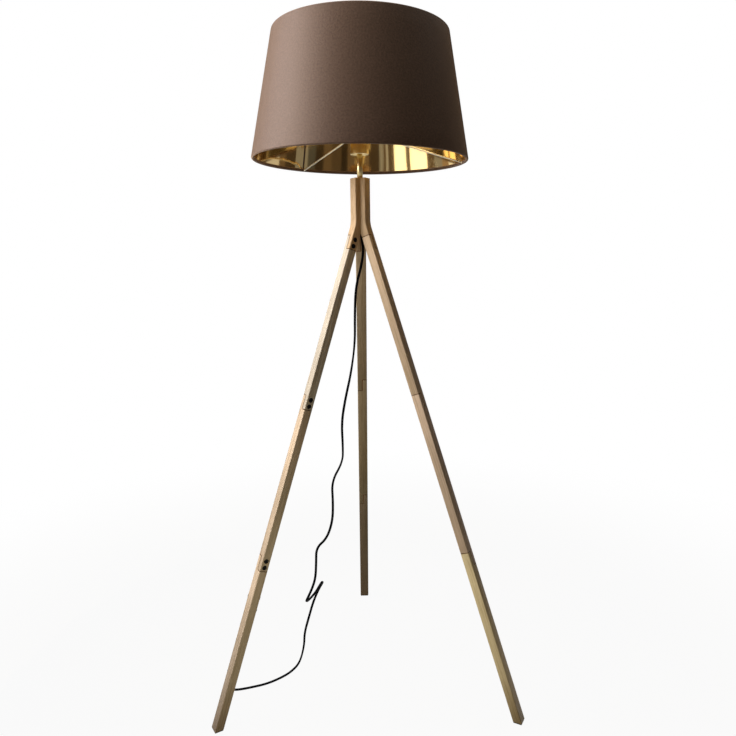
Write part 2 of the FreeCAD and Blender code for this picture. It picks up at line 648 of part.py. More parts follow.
def cord_hank():
    """The outer shape of the folded bundle, wide at its folds and drawn in at its tie."""
    wide, waist = HANK_HALF_WIDTH, WAIST_HALF_WIDTH
    fold, drawn = HANK_FOLD_LENGTH, HANK_FOLD_LENGTH + HANK_DRAWN_LENGTH
    places = [
        (wide, HANK_START_Y), (wide, HANK_START_Y + fold), (waist, HANK_START_Y + drawn),
        (waist, HANK_END_Y - drawn), (wide, HANK_END_Y - fold), (wide, HANK_END_Y),
    ]
    right = [(HANK_X + x, y, 0) for x, y in places]
    left = [(HANK_X - x, y, 0) for x, y in reversed(places)]
    shape = face_of(right + left).extrude(V(0, 0, HANK_TOP))
    ends = [
        e for e in shape.Edges
        if abs(e.tangentAt(e.FirstParameter).z) > 0.9
        and min(abs(e.CenterOfMass.y - HANK_START_Y), abs(e.CenterOfMass.y - HANK_END_Y)) < 0.01
    ]
    shape = shape.makeFillet(CORD_RADIUS - 0.1, ends)
    groove = block(HANK_X - wide, HANK_X + wide, TIE_START_Y, TIE_END_Y, -1, HANK_TOP + 1)
    return shape.cut(groove).fuse(waist_bar(TIE_START_Y, TIE_END_Y, 0)).removeSplitter()


def cord_tie():
    outer = waist_bar(TIE_START_Y, TIE_END_Y, TIE_THICKNESS)
    return outer.cut(waist_bar(TIE_START_Y - 1, TIE_END_Y + 1, 0))


# ---------------------------------------------------------------- switch on the cord
SWITCH_MIDDLE_Y = SWITCH_START_Y + SWITCH_LENGTH / 2
SPLIT_Z = SWITCH_HEIGHT / 2
PIVOT_Z = SWITCH_HEIGHT - 2.8


def switch_half(z0, z1, wall_side):
    """One hollow half of the housing; wall_side is +1 for the cover, -1 for the base."""
    x, y = SWITCH_X, SWITCH_MIDDLE_Y
    shape = stretched_box(SWITCH_WIDTH, SWITCH_LENGTH, z1 - z0, SWITCH_CORNER, x, y, z0)
    face = max(f.CenterOfMass.z * wall_side for f in shape.Faces)
    rim = [e for e in shape.Edges if abs(e.CenterOfMass.z * wall_side - face) < 0.01]
    shape = shape.makeChamfer(SWITCH_WALL / 2, rim)
    w = SWITCH_WALL
    low = z0 + (w if wall_side < 0 else -1)
    high = z1 - (w if wall_side > 0 else -1)
    hollow = stretched_box(
        SWITCH_WIDTH - 2 * w, SWITCH_LENGTH - 2 * w, high - low, SWITCH_CORNER - w, x, y, low
    )
    shape = shape.cut(hollow)
    hole = Part.makeCylinder(
        CORD_RADIUS + FIT, SWITCH_LENGTH + 2, V(x, SWITCH_START_Y - 1, SPLIT_Z), V(0, 1, 0)
    )
    return shape.cut(hole)


def screw_places():
    side = SWITCH_WIDTH / 2 - SWITCH_WALL - 2.7
    return [
        (SWITCH_X + side, SWITCH_MIDDLE_Y - SCREW_PLACE),
        (SWITCH_X - side, SWITCH_MIDDLE_Y + SCREW_PLACE),
    ]


SCREW_RADIUS = 1.2


def switch_base():
    shape = switch_half(0, SPLIT_Z, -1)
    for x, y in screw_places():
        shape = shape.fuse(rod(SCREW_RADIUS + 1.3, SWITCH_WALL / 2, SPLIT_Z, x, y))
        shape = shape.cut(rod(SCREW_RADIUS + FIT, -1, SPLIT_Z + 1, x, y))
        shape = shape.cut(rod(SCREW_RADIUS * 2, -1, SWITCH_WALL, x, y))
    return shape.removeSplitter()


def rocker_window():
    half_x, half_y = ROCKER_WIDTH / 2 + ROCKER_PLAY, ROCKER_LENGTH / 2 + 2 * ROCKER_PLAY
    x, y = SWITCH_X, SWITCH_MIDDLE_Y
    return block(x - half_x, x + half_x, y - half_y, y + half_y, SPLIT_Z, SWITCH_HEIGHT + 1)


def switch_cover():
    shape = switch_half(SPLIT_Z, SWITCH_HEIGHT, 1).cut(rocker_window())
    inner = ROCKER_WIDTH / 2 + ROCKER_PLAY
    for side in (-1, 1):
        near, far = SWITCH_X + side * inner, SWITCH_X + side * (inner + CHEEK_THICKNESS)
        cheek = block(
            min(near, far), max(near, far), SWITCH_MIDDLE_Y - 3, SWITCH_MIDDLE_Y + 3,
            PIVOT_Z - 3, SWITCH_HEIGHT - SWITCH_WALL / 2,
        )
        shape = shape.fuse(cheek)
    pin = Part.makeCylinder(
        PIVOT_RADIUS + FIT, 2 * (inner + PIVOT_LENGTH),
        V(SWITCH_X - inner - PIVOT_LENGTH, SWITCH_MIDDLE_Y, PIVOT_Z), V(1, 0, 0),
    )
    shape = shape.cut(pin)
    for x, y in screw_places():
        shape = shape.fuse(rod(SCREW_RADIUS + 1.3, SPLIT_Z, SWITCH_HEIGHT - SWITCH_WALL / 2, x, y))
        shape = shape.cut(rod(SCREW_RADIUS + FIT, SPLIT_Z - 1, SWITCH_HEIGHT - 3, x, y))
    return shape.removeSplitter()


def switch_rocker():
    """A see-saw button with a hollowed top, drawn level and tipped to its off position."""
    half, x0 = ROCKER_LENGTH / 2, SWITCH_X - ROCKER_WIDTH / 2
    y, z = SWITCH_MIDDLE_Y, PIVOT_Z
    low, end_high, middle_high = -2.5, 2.7, 1.5
    outline = Part.Wire([
        Part.LineSegment(V(x0, y - half, z + low), V(x0, y + half, z + low)).toShape(),
        Part.LineSegment(V(x0, y + half, z + low), V(x0, y + half, z + end_high)).toShape(),
        Part.Arc(
            V(x0, y + half, z + end_high), V(x0, y, z + middle_high), V(x0, y - half, z + end_high)
        ).toShape(),
        Part.LineSegment(V(x0, y - half, z + end_high), V(x0, y - half, z + low)).toShape(),
    ])
    button = Part.Face(outline).extrude(V(ROCKER_WIDTH, 0, 0))
    pin_half = ROCKER_WIDTH / 2 + ROCKER_PLAY + PIVOT_LENGTH - SLIDE_FIT
    pin = Part.makeCylinder(PIVOT_RADIUS, 2 * pin_half, V(SWITCH_X - pin_half, y, z), V(1, 0, 0))
    button = button.fuse(pin).removeSplitter()
    button.rotate(V(SWITCH_X, y, z), V(1, 0, 0), -ROCKER_TILT)
    return button


def switch_contacts():
    """Two brass blades under the rocker, each standing on the base."""
    blades = []
    end = SWITCH_X + BLADE_END
    for side in (-1, 1):
        y = SWITCH_MIDDLE_Y + side * ROCKER_LENGTH / 3
        low, high = SPLIT_Z - 4 * BLADE_THICKNESS, SPLIT_Z - 3 * BLADE_THICKNESS
        half_post, half_blade = POST_THICKNESS / 2, BLADE_WIDTH / 2
        post = block(end - POST_LENGTH, end, y - half_post, y + half_post, SWITCH_WALL, low)
        blade = block(end - BLADE_LENGTH, end, y - half_blade, y + half_blade, low, high)
        blades.append(post.fuse(blade).removeSplitter())
    return Part.makeCompound(blades)


def switch_screws():
    screws = []
    for x, y in screw_places():
        head = rod(SCREW_RADIUS * 2 - 2 * FIT, 0.3, SWITCH_WALL, x, y)
        shank = rod(SCREW_RADIUS, SWITCH_WALL, SWITCH_HEIGHT - 4, x, y)
        screws.append(head.fuse(shank).removeSplitter())
    return Part.makeCompound(screws)


def switch_core():
    """The conductor that runs on through the switch."""
    y0 = SWITCH_START_Y + CORD_IN_SWITCH
    y1 = SWITCH_END_Y - CORD_IN_SWITCH
    return round_bar(V(SWITCH_X - 1.2, y0, SPLIT_Z), V(SWITCH_X - 1.2, y1, SPLIT_Z), CORE_RADIUS)


# ---------------------------------------------------------------- plug
PLUG_START_Y = HANK_END_Y + BOOT_LENGTH
PLUG_END_Y = PLUG_START_Y + PLUG_LENGTH
PLUG_Z = PLUG_HEIGHT / 2


def plug_boot():
    """The ribbed, tapered strain relief behind the plug."""
    shape = Part.makeCone(
        CORD_RADIUS + 1.0, BOOT_RADIUS, BOOT_LENGTH, V(HANK_X, HANK_END_Y, PLUG_Z), V(0, 1, 0)
    )
    for fifth in (1, 2, 3, 4):
        y = HANK_END_Y + BOOT_LENGTH * fifth / 5
        slot = 1.4
        keep = Part.makeCylinder(CORD_RADIUS + 0.6, slot, V(HANK_X, y - slot / 2, PLUG_Z), V(0, 1, 0))
        ring = Part.makeCylinder(2 * BOOT_RADIUS, slot, V(HANK_X, y - slot / 2, PLUG_Z), V(0, 1, 0))
        shape = shape.cut(ring.cut(keep))
    return shape


def plug_body():
    wide, rear = PLUG_WIDTH / 2, PLUG_REAR_WIDTH / 2
    x, y0, y1 = HANK_X, PLUG_START_Y, PLUG_END_Y
    shoulder = y0 + PLUG_LENGTH * 0.45
    outline = [
        (x - rear, y0, 0), (x + rear, y0, 0), (x + wide, shoulder, 0),
        (x + wide, y1, 0), (x - wide, y1, 0), (x - wide, shoulder, 0),
    ]
    shape = face_of(outline).extrude(V(0, 0, PLUG_HEIGHT))
    upright = [e for e in shape.Edges if abs(e.tangentAt(e.FirstParameter).z) > 0.9]
    shape = shape.makeFillet(3.0, upright)
    rims = [e for e in shape.Edges if abs(e.CenterOfMass.z - PLUG_Z) > PLUG_Z - 0.01]
    shape = shape.makeFillet(2.0, rims)
    for pin in pins(FIT, PIN_ROOT):
        shape = shape.cut(pin)
    return shape


def pins(extra, root):
    found = []
    for side in (-1, 1):
        start = V(HANK_X + side * PIN_SPACING / 2, PLUG_END_Y - root, PLUG_Z)
        end = start + V(0, root + PIN_LENGTH, 0)
        found.append(round_bar(start, end, PIN_RADIUS + extra))
    return found


def plug_pins():
    tipped = []
    for pin in pins(0, PIN_ROOT):
        tip = [e for e in pin.Edges if e.CenterOfMass.y > PLUG_END_Y + PIN_LENGTH - 0.01]
        tipped.append(pin.makeFillet(PIN_RADIUS * 0.6, tip))
    return Part.makeCompound(tipped)


# ---------------------------------------------------------------- all the nodes
SEGMENT_NAMES = ("lower", "middle", "upper")


def model():
    nodes = {}
    for side, direction in LEGS.items():
        nodes["elbow_" + side] = aimed(elbow(), direction)
        for index, level in enumerate(SEGMENT_NAMES):
            nodes[f"leg_{side}_{level}"] = aimed(segment(index), direction)
        nodes["bolts_" + side] = on_leg(bolt, direction)
        nodes["inserts_" + side] = on_leg(threaded_insert, direction)
        nodes["foot_pad_" + side] = aimed(foot_pad(), direction)

    sleeve_inner = TUBE_RADIUS + SLIDE_FIT
    nodes["stem_sleeve"] = pipe(
        sleeve_inner + SLEEVE_WALL, sleeve_inner, HUB_TOP, CUP_BOTTOM + CUP_RECESS
    )
    nodes["threaded_tube"] = pipe(TUBE_RADIUS, TUBE_BORE, TUBE_BOTTOM, TUBE_TOP)
    nodes["hub_washer"] = pipe(NUT_CORNER, sleeve_inner, NUT_SEAT_Z - WASHER_THICKNESS, NUT_SEAT_Z)
    nodes["hub_nut"] = hex_nut(HUB_NUT_BOTTOM)
    nodes["cord_grip"] = cord_grip()
    nodes["holder_cup"] = holder_cup()
    nodes["holder_nut"] = hex_nut(CUP_FLOOR_TOP)
    nodes["holder_body"] = holder_body()
    nodes["contact_block"] = contact_block()
    nodes["terminal_screws"] = terminal_screws()
    nodes["centre_contact"] = centre_contact()
    nodes["screw_shell"] = screw_shell()
    nodes["holder_skirt"] = holder_skirt()
    nodes["shade_nut"] = shade_nut()

    nodes["shade_fabric"] = shade_fabric()
    nodes["shade_lining"] = shade_lining()
    nodes["shade_top_ring"] = wire_ring(RING_HIGH_Z)
    nodes["shade_spider"] = shade_spider()

    nodes["cord_inner"] = rod(CORD_RADIUS, GRIP_BOTTOM, CORD_TOP)
    nodes["holder_wires"] = holder_wires()

    nodes["cord_drop"] = cord_tube("cord_drop", CORD_DROP)
    nodes["cord_link"] = cord_tube("cord_link", CORD_LINK)
    nodes["cord_hank"] = cord_hank()
    nodes["cord_tie"] = cord_tie()
    nodes["switch_base"] = switch_base()
    nodes["switch_cover"] = switch_cover()
    nodes["switch_rocker"] = switch_rocker()
    nodes["switch_contacts"] = switch_contacts()
    nodes["switch_screws"] = switch_screws()
    nodes["switch_core"] = switch_core()
    nodes["plug_boot"] = plug_boot()
    nodes["plug_body"] = plug_body()
    nodes["plug_pins"] = plug_pins()
    return nodes


def main():
    os.makedirs("parts", exist_ok=True)
    for name, shape in model().items():
        if not shape.isValid() or not shape.Solids:
            print("check", name, "valid", shape.isValid(), "solids", len(shape.Solids))
        shape.exportStep(f"parts/{name}.step")
    print("hub top", round(HUB_TOP, 2), "cup", round(CUP_BOTTOM, 2), "shade", round(SHADE_BOTTOM, 2))


main()
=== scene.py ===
# %% [markdown]
# # A tripod floor lamp
#
# The lamp has three long wooden legs, each made of short lengths bolted together with half-lap
# joints, a brass stem and lamp holder, a fabric drum shade lined with gold film, and a black flex
# with a small switch and a plug.
#
# The mechanical model of the lamp is already made, in CAD, and it is loaded here as a fixed frame.
# Blender's part is what the eye sees: soft edges, wood, cloth, metal and the flex. Everything is
# in metres, with Z up, the lamp's axis at x = y = 0, and the back leg along +Y.

# %% Load the frame
import math

import bmesh
import bpy
from mathutils import Matrix, Quaternion, Vector, noise


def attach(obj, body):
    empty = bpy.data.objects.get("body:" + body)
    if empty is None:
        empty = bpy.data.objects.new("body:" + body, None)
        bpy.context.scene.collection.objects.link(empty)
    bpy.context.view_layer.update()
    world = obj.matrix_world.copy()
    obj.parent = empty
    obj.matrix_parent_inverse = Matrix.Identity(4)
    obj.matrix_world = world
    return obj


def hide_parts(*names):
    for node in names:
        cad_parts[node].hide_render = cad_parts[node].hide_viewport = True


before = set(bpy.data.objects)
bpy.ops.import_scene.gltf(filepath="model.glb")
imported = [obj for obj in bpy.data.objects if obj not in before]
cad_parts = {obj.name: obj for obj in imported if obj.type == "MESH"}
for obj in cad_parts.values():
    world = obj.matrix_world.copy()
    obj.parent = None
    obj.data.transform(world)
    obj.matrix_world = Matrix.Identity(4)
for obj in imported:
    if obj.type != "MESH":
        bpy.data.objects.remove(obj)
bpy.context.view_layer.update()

# %% [markdown]
# ## Small tools
#
# Real sizes are easiest to think of in millimetres, so one function turns them into metres.
# Colours are written as the hex values of paint and fabric charts. Those are sRGB values, and the
# renderer counts in linear light, so one function converts them. Both could be worked out by hand
# each time, but a slip in a typed number is hard to find again.

# %% Lengths and colours
SCENE = bpy.context.scene


def mm(*values):
    """Millimetres to metres: one number, or a vector from three."""
    scaled = [v / 1000 for v in values]
    return scaled[0] if len(scaled) == 1 else Vector(scaled)


def linear(hex_code):
    """An sRGB hex colour as the linear RGBA that shader sockets take, by the standard's curve."""
    channels = [int(hex_code[i : i + 2], 16) / 255 for i in (1, 3, 5)]
    curve = [c / 12.92 if c <= 0.04045 else ((c + 0.055) / 1.055) ** 2.4 for c in channels]
    return (*curve, 1.0)


print("25 mm is", mm(25), "m; a mid grey is", round(linear("#808080")[0], 3), "in linear light")

# %% [markdown]
# A material is a small network of nodes. It can be wired by hand in the shader editor, but a
# written one can be read and repeated. One function adds any kind of node. It sets the node's
# properties, and then its sockets: a value that is an output of another node is linked, and any
# other is set. A socket goes by its name, with _ for a space, or by its number after a _.


# %% One function adds a node
def add_node(tree, kind, settings=None, **inputs):
    """Adds a node; settings are its properties, inputs its sockets by name or by number."""
    node = tree.nodes.new(kind)
    for key, value in (settings or {}).items():
        setattr(node, key, value)
    for key, value in inputs.items():
        socket = node.inputs[int(key[1:]) if key.startswith("_") else key.replace("_", " ")]
        if isinstance(value, bpy.types.NodeSocket):
            tree.links.new(value, socket)
        else:
            socket.default_value = value
    return node


def new_material(name):
    """A material and its node tree, still empty."""
    material = bpy.data.materials.new(name)
    material.use_nodes = True
    material.node_tree.nodes.clear()
    return material, material.node_tree


print("materials so far:", len(bpy.data.materials))

# %% [markdown]
# Everything that Blender adds to the lamp becomes a piece in the same way: a mesh is built, made
# an object, and told which body it rides on and which finish it belongs to. The object itself
# stays at the origin, unturned, and its place is in its mesh, as with the CAD pieces.


# %% From a mesh to a piece
def piece_from(name, bm, body, smooth=True):
    """Turns a bmesh into an object that rides on a body."""
    mesh = bpy.data.meshes.new(name)
    for face in bm.faces:
        face.smooth = smooth
    bm.to_mesh(mesh)
    bm.free()
    piece = bpy.data.objects.new(name, mesh)
    SCENE.collection.objects.link(piece)
    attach(piece, body)
    return piece


# %% [markdown]
# ## The camera
#
# The lamp is seen from a little below the top of its legs, from the front, so that the shade shows
# a slice of its lining. A camera can be aimed by its angles or by a constraint. Here the two
# directions that it needs are given, ahead and up, and its matrix is built from them, which also
# keeps the slight roll of a camera that stands by hand.

# %% Camera
CAMERA_PLACE = mm(-17.2, -1437.1, 975.1)
CAMERA_AHEAD = Vector((0.01979, 0.98598, -0.16568))
CAMERA_UP = Vector((0.01651, 0.16537, 0.98609))
LENS, SENSOR = 32.372, 36.0
NEAREST, FARTHEST = 0.05, 60.0

camera_data = bpy.data.cameras.new("camera")
camera_data.lens = LENS
camera_data.sensor_width = SENSOR
camera_data.clip_start, camera_data.clip_end = NEAREST, FARTHEST
camera = bpy.data.objects.new("camera", camera_data)
SCENE.collection.objects.link(camera)
SCENE.camera = camera
across = CAMERA_AHEAD.cross(CAMERA_UP).normalized()
upward = across.cross(CAMERA_AHEAD).normalized()
turn = Matrix((across, upward, -CAMERA_AHEAD)).transposed().to_4x4()
camera.matrix_world = Matrix.Translation(CAMERA_PLACE) @ turn
SCENE.view_settings.view_transform = "Standard"
looks_down = math.degrees(math.asin(-CAMERA_AHEAD.normalized().z))
print("camera at", [round(v, 3) for v in CAMERA_PLACE], "looks down", round(looks_down, 1), "deg")

# %% [markdown]
# ## The flex
#
# The flex is a flat black twin flex, 5.6 mm wide and 4.8 mm thick. It leaves the hub's underside,
# hangs in lazy waves with the kinks that it keeps from its packing, folds once on its way down,
# reaches the floor and runs behind the left foot to the switch. What is left of it lies folded
# behind that leg, held by a tie.
#
# Its path could be simulated, but a flex that keeps its kinks is easier to lay out one point at a
# time. So the route is a list of points in millimetres, from the hub downwards. The folds of the
# bundle are all alike, so one function gives the points round a fold.

# %% The route of the flex
# The height of the flex's middle where it lies on the floor.
LIE = 2.2
DROP_ROUTE = [
    (0, 0, 1041.84), (0, 0, 1024), (5.5, -5, 993), (1, -2, 958), (-12.5, 0, 912), (-15.5, 0, 850),
    (-16, 0, 790), (-26, 0, 722), (-39, 0, 668), (-49, 0, 612), (-47, 0, 556), (-48, 0, 520),
    (-74, 0, 475), (-72, 0, 425), (-74, 0, 380), (-88, 0, 338), (-113, 0, 316), (-114, -2.6, 280.3),
    (-116.2, -6.1, 244.5), (-123.6, -23.3, 227.3), (-132.9, -30.2, 209.7), (-138.1, -22.5, 196.1),
    (-136.1, -9.8, 189.8), (-127, 5.4, 191.4), (-116.9, 22, 197.1), (-108.7, 33.3, 206.9),
    (-103.9, 48.3, 207.4), (-104, 60.1, 198.4), (-111.1, 63.9, 185.1), (-119, 54.4, 172.8),
    (-128.1, 44, 153.5), (-137, 32, 126), (-148, 20, 92),
    (-149, 14, 62), (-160, 8, 22), (-180, 4, LIE), (-200, -17, LIE),
    (-232, -40, LIE), (-270, -52.5, LIE), (-295, -59, LIE), (-309, -58.5, LIE),
    (-319.5, -53.5, LIE), (-327, -44.5, LIE), (-330.5, -32, LIE),
    (-330, -14, LIE), (-325, 6, LIE), (-320, 28, 5), (-318.5, 51, 8), (-318.5, 68, 8),
]
FOLD, FOLD_SLACK = 15.0, 3.4
FOLD_POINTS, FOLD_STEP, CLIMB_POINTS = 8, 30.0, 5
HANK_X, HANK_NEAR, HANK_FAR = -320.6, 202.0, 306.0
# Heights in the bundle: its lowest runs, under the tie, at the upper fold, and its top run.
HANK_LOW, HANK_TIED, HANK_CROSS, HANK_HIGH = 2.2, 2.8, 5.3, 6.5
TIED_APART = 4.0


def hank_fold(middle, z0, z1, side, away):
    """Points round a fold about HANK_X, from one side to the other, climbing from z0 to z1."""
    reach = FOLD / math.cos(math.radians(FOLD_STEP / 2))
    points = []
    for step in range(FOLD_POINTS):
        angle = math.radians(FOLD_STEP * (step - 0.5))
        points.append((
            HANK_X + side * reach * math.cos(angle), middle + away * reach * math.sin(angle),
            z0 + (z1 - z0) * min(1.0, step / CLIMB_POINTS),
        ))
    return points


TAIL_ROUTE = [
    (-318.5, 118, 8), (-318.5, 135, 8), (-316, 158, 5), (-309.4, 180, 2.4),
    (-307.6, 202, HANK_LOW), (-308.2, 222, HANK_LOW), (-315.0, 240, 2.5),
    (HANK_X + TIED_APART, 256, HANK_TIED), (-312.0, 270, 2.3),
    *hank_fold(HANK_FAR - FOLD - FOLD_SLACK, HANK_LOW, HANK_LOW, 1, 1),
    (-329.6, 269, 2.3), (HANK_X - TIED_APART, 254, HANK_TIED), (-329.4, 238, 2.3),
    *hank_fold(HANK_NEAR + FOLD + FOLD_SLACK, HANK_LOW, HANK_CROSS, -1, -1),
    (-312.6, 237, 5.6), (-319.4, 252, HANK_HIGH), (HANK_X, 268, 6.3), (HANK_X, 286, 6.8),
    (HANK_X, 300, 6.85), (HANK_X, 312, 6.85),
]
print("route points:", len(DROP_ROUTE), "and", len(TAIL_ROUTE))

# %% [markdown]
# A flex bends smoothly, so a smooth line is drawn through each route. A Bezier curve would need a
# pair of handles at every point. A NURBS curve of order 3 needs only the points: it touches the
# middle of each straight between two of them and rounds every corner, with no loops or bumps.

# %% The line through a route
CURVE_ORDER, STEPS_PER_POINT = 3, 10


def smooth_line(name, route):
    """The points of a NURBS curve that has the route as its control points."""
    data = bpy.data.curves.new(name, "CURVE")
    data.dimensions = "3D"
    data.resolution_u = STEPS_PER_POINT
    spline = data.splines.new("NURBS")
    spline.points.add(len(route) - 1)
    for point, place in zip(spline.points, route):
        point.co = (*mm(*place), 1.0)
    spline.order_u = CURVE_ORDER
    spline.use_endpoint_u = True
    holder = bpy.data.objects.new(name, data)
    mesh = bpy.data.meshes.new_from_object(holder)
    line = [v.co.copy() for v in mesh.vertices]
    bpy.data.objects.remove(holder)
    bpy.data.curves.remove(data)
    bpy.data.meshes.remove(mesh)
    return line


def line_length(line):
    """The length of a line of points, in metres."""
    return sum((b - a).length for a, b in zip(line, line[1:]))


drop_line = smooth_line("drop_route", DROP_ROUTE)
tail_line = smooth_line("tail_route", TAIL_ROUTE)
print("drop", round(line_length(drop_line), 3), "m, tail", round(line_length(tail_line), 3), "m")

# %% [markdown]
# A curve with a round bevel would draw a round cord. This flex is flat, has a shallow groove
# between its two cores, and turns as it hangs, so a ring of points is carried along the line and
# extruded at each step. It starts at the switch end and turns only as much as the line turns,
# which keeps the flex lying flat on the floor.

# %% A flat twin flex along a line
FLEX_WIDTH, FLEX_THICKNESS = mm(5.6), mm(4.8)
FLEX_SIDES = 20
GROOVE_DEPTH, GROOVE_WIDTH = 0.16, mm(0.9)
LYING = mm(12)


def directions(line):
    """The line's direction at each of its points."""
    ends = [line[0]] + line + [line[-1]]
    return [(after - before).normalized() for before, after in zip(ends, ends[2:])]


def flex_mesh(line, twist_at):
    """A closed tube of the twin flex's section; twist_at gives the turn at a height."""
    bm = bmesh.new()
    ring = bmesh.ops.create_circle(
        bm, cap_ends=True, segments=FLEX_SIDES, radius=FLEX_WIDTH / 2
    )["verts"]
    section = []
    for vert in ring:
        x, y = vert.co.x, vert.co.y * FLEX_THICKNESS / FLEX_WIDTH
        narrowed = 1 - GROOVE_DEPTH * math.exp(-((x / GROOVE_WIDTH) ** 2))
        section.append(Vector((x, y * narrowed, 0)))
    aims = directions(line)
    side = Vector((aims[-1].y, -aims[-1].x, 0)).normalized()
    edges = bm.edges[:]
    for i in range(len(line) - 1, -1, -1):
        if line[i].z < LYING:
            flat = Vector((aims[i].y, -aims[i].x, 0)).normalized()
            side = flat if flat.dot(side) > 0 else -flat
        side = (side - aims[i] * side.dot(aims[i])).normalized()
        turned_side = Quaternion(aims[i], twist_at(line[i].z)) @ side
        basis = Matrix((turned_side, aims[i].cross(turned_side), aims[i])).transposed()
        if i < len(line) - 1:
            made = bmesh.ops.extrude_edge_only(bm, edges=edges)["geom"]
            ring = [g for g in made if isinstance(g, bmesh.types.BMVert)]
            edges = [g for g in made if isinstance(g, bmesh.types.BMEdge)]
        for vert, place in zip(ring, section):
            vert.co = line[i] + basis @ place
    bmesh.ops.contextual_create(bm, geom=edges)
    bmesh.ops.recalc_face_normals(bm, faces=bm.faces)
    return bm


print("section", FLEX_WIDTH * 1000, "x", FLEX_THICKNESS * 1000, "mm")

# %% [markdown]
# A hanging twin flex never stays in one plane. Its turn is a small table of heights and degrees,
# read between its lines: none on the floor, a quarter turn just above it, so that the broad side
# faces the front there, and about one slow turn more between knee height and the hub.

# %% The two runs of flex
# Height in millimetres, and turn in degrees.
TWISTS = [(20, 0), (120, 90), (400, 100), (885, 462)]


def hanging_twist(z):
    """The turn at a height in metres, from the pairs of height in millimetres and degrees."""
    total = 0.0
    for (low, before), (high, after) in zip(TWISTS, TWISTS[1:]):
        total += (after - before) * min(1.0, max(0.0, (z - mm(low)) / mm(high - low)))
    return math.radians(total)


flex_drop = piece_from("flex_drop", flex_mesh(drop_line, hanging_twist), "lamp")
flex_tail = piece_from("flex_tail", flex_mesh(tail_line, lambda z: 0.0), "lamp")
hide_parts("cord_drop")
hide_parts("cord_link", "cord_hank")
print("flex faces:", len(flex_drop.data.polygons), len(flex_tail.data.polygons))

# %% [markdown]
# ## The studio
#
# A lamp is shown on white paper, but white paper close to it would also throw light up at it from
# below. So the floor is two things at once. To the lamp it is a fairly dark warm paper, which
# gives back little light. To the camera, and to anything polished or clear, it is white, and only
# close to the lamp does a little of the real paper show through, with the lamp's faint shadow on
# it. The Light Path node tells the two kinds of ray apart. Painting a shadow, or a large white
# light under the lamp, would both give it away in other views.

# %% Floor
FLOOR_HALF, FLOOR_GAP = 7.0, mm(0.4)
FLOOR_SHADOW = 0.05
SHADOW_NEAR, SHADOW_FAR = 0.7, 1.9
FULL_WHITE = 1.0


def seen_as_background(tree):
    """1 for rays from the camera and off polished or clear surfaces, otherwise 0."""
    path = add_node(tree, "ShaderNodeLightPath")
    camera_or_gloss = add_node(
        tree, "ShaderNodeMath", {"operation": "MAXIMUM"},
        _0=path.outputs["Is Camera Ray"], _1=path.outputs["Is Glossy Ray"],
    )
    return add_node(
        tree, "ShaderNodeMath", {"operation": "MAXIMUM"},
        _0=camera_or_gloss.outputs[0], _1=path.outputs["Is Transmission Ray"],
    ).outputs[0]


def staged(name, bm, material):
    """An object of the studio: it isn't part of the lamp."""
    mesh = bpy.data.meshes.new(name)
    bm.to_mesh(mesh)
    bm.free()
    mesh.materials.append(material)
    thing = bpy.data.objects.new(name, mesh)
    SCENE.collection.objects.link(thing)
    return thing


# Uncoated card: quite matt, so it has no gloss at all.
paper, tree = new_material("studio_paper")
matt = add_node(tree, "ShaderNodeBsdfDiffuse", Color=linear("#766749"))
white = add_node(tree, "ShaderNodeEmission", Color=linear("#ffffff"), Strength=FULL_WHITE)
from_lamp = add_node(
    tree, "ShaderNodeVectorMath", {"operation": "LENGTH"},
    _0=add_node(tree, "ShaderNodeTexCoord").outputs["Object"],
).outputs["Value"]
whiteness = add_node(
    tree, "ShaderNodeMapRange", {"interpolation_type": "SMOOTHSTEP"}, Value=from_lamp,
    From_Min=SHADOW_NEAR, From_Max=SHADOW_FAR, To_Min=1 - FLOOR_SHADOW, To_Max=1.0,
).outputs[0]
pale = add_node(tree, "ShaderNodeMixShader", _0=whiteness, _1=matt.outputs[0], _2=white.outputs[0])
mixed = add_node(
    tree, "ShaderNodeMixShader", _0=seen_as_background(tree), _1=matt.outputs[0], _2=pale.outputs[0]
)
add_node(tree, "ShaderNodeOutputMaterial", Surface=mixed.outputs[0])
bm = bmesh.new()
bmesh.ops.create_grid(bm, x_segments=1, y_segments=1, size=FLOOR_HALF)
bmesh.ops.translate(bm, verts=bm.verts, vec=(0, 0, -FLOOR_GAP))
floor = staged("floor", bm, paper)
print("floor:", 2 * FLOOR_HALF, "m square")

# %% [markdown]
# Past the floor lies the world. It works in the same two ways: a dim warm room to light the lamp,
# and plain white behind it. An image of a real room could light it too, but would bring things
# that this lamp doesn't need, and the script would have to carry the file.

# %% World
ROOM_GLOW = 0.13

world = bpy.data.worlds.new("studio")
SCENE.world = world
world.use_nodes = True
tree = world.node_tree
tree.nodes.clear()
room = add_node(tree, "ShaderNodeBackground", Color=linear("#fff6ea"), Strength=ROOM_GLOW)
backdrop = add_node(
    tree, "ShaderNodeBackground", Color=linear("#ffffff"), Strength=FULL_WHITE
)
world_mix = add_node(
    tree, "ShaderNodeMixShader", _0=seen_as_background(tree), _1=room.outputs[0],
    _2=backdrop.outputs[0],
)
add_node(tree, "ShaderNodeOutputWorld", Surface=world_mix.outputs[0])
print("room glow:", ROOM_GLOW)

# %% [markdown]
# ## What the film mirrors
#
# The gold film inside the shade is a mirror, and its look is the look of the room round it. In an
# even white studio it would be one flat yellow. Real rooms have dark corners, pale walls, curtains
# and windows, and the film folds them into upright stripes of light and dark.
#
# So the lamp stands inside a ring of upright, softly glowing cards. Three large walls carry the
# light that comes from all round. In front of them a row of narrow bands, each with its own glow
# and warmth, gives the film its stripes. A low dim wall close by on the left shades the feet, as
# the wall below a window does. The camera doesn't see any of them.


# %% Walls and bands
CARD_FACET = 15


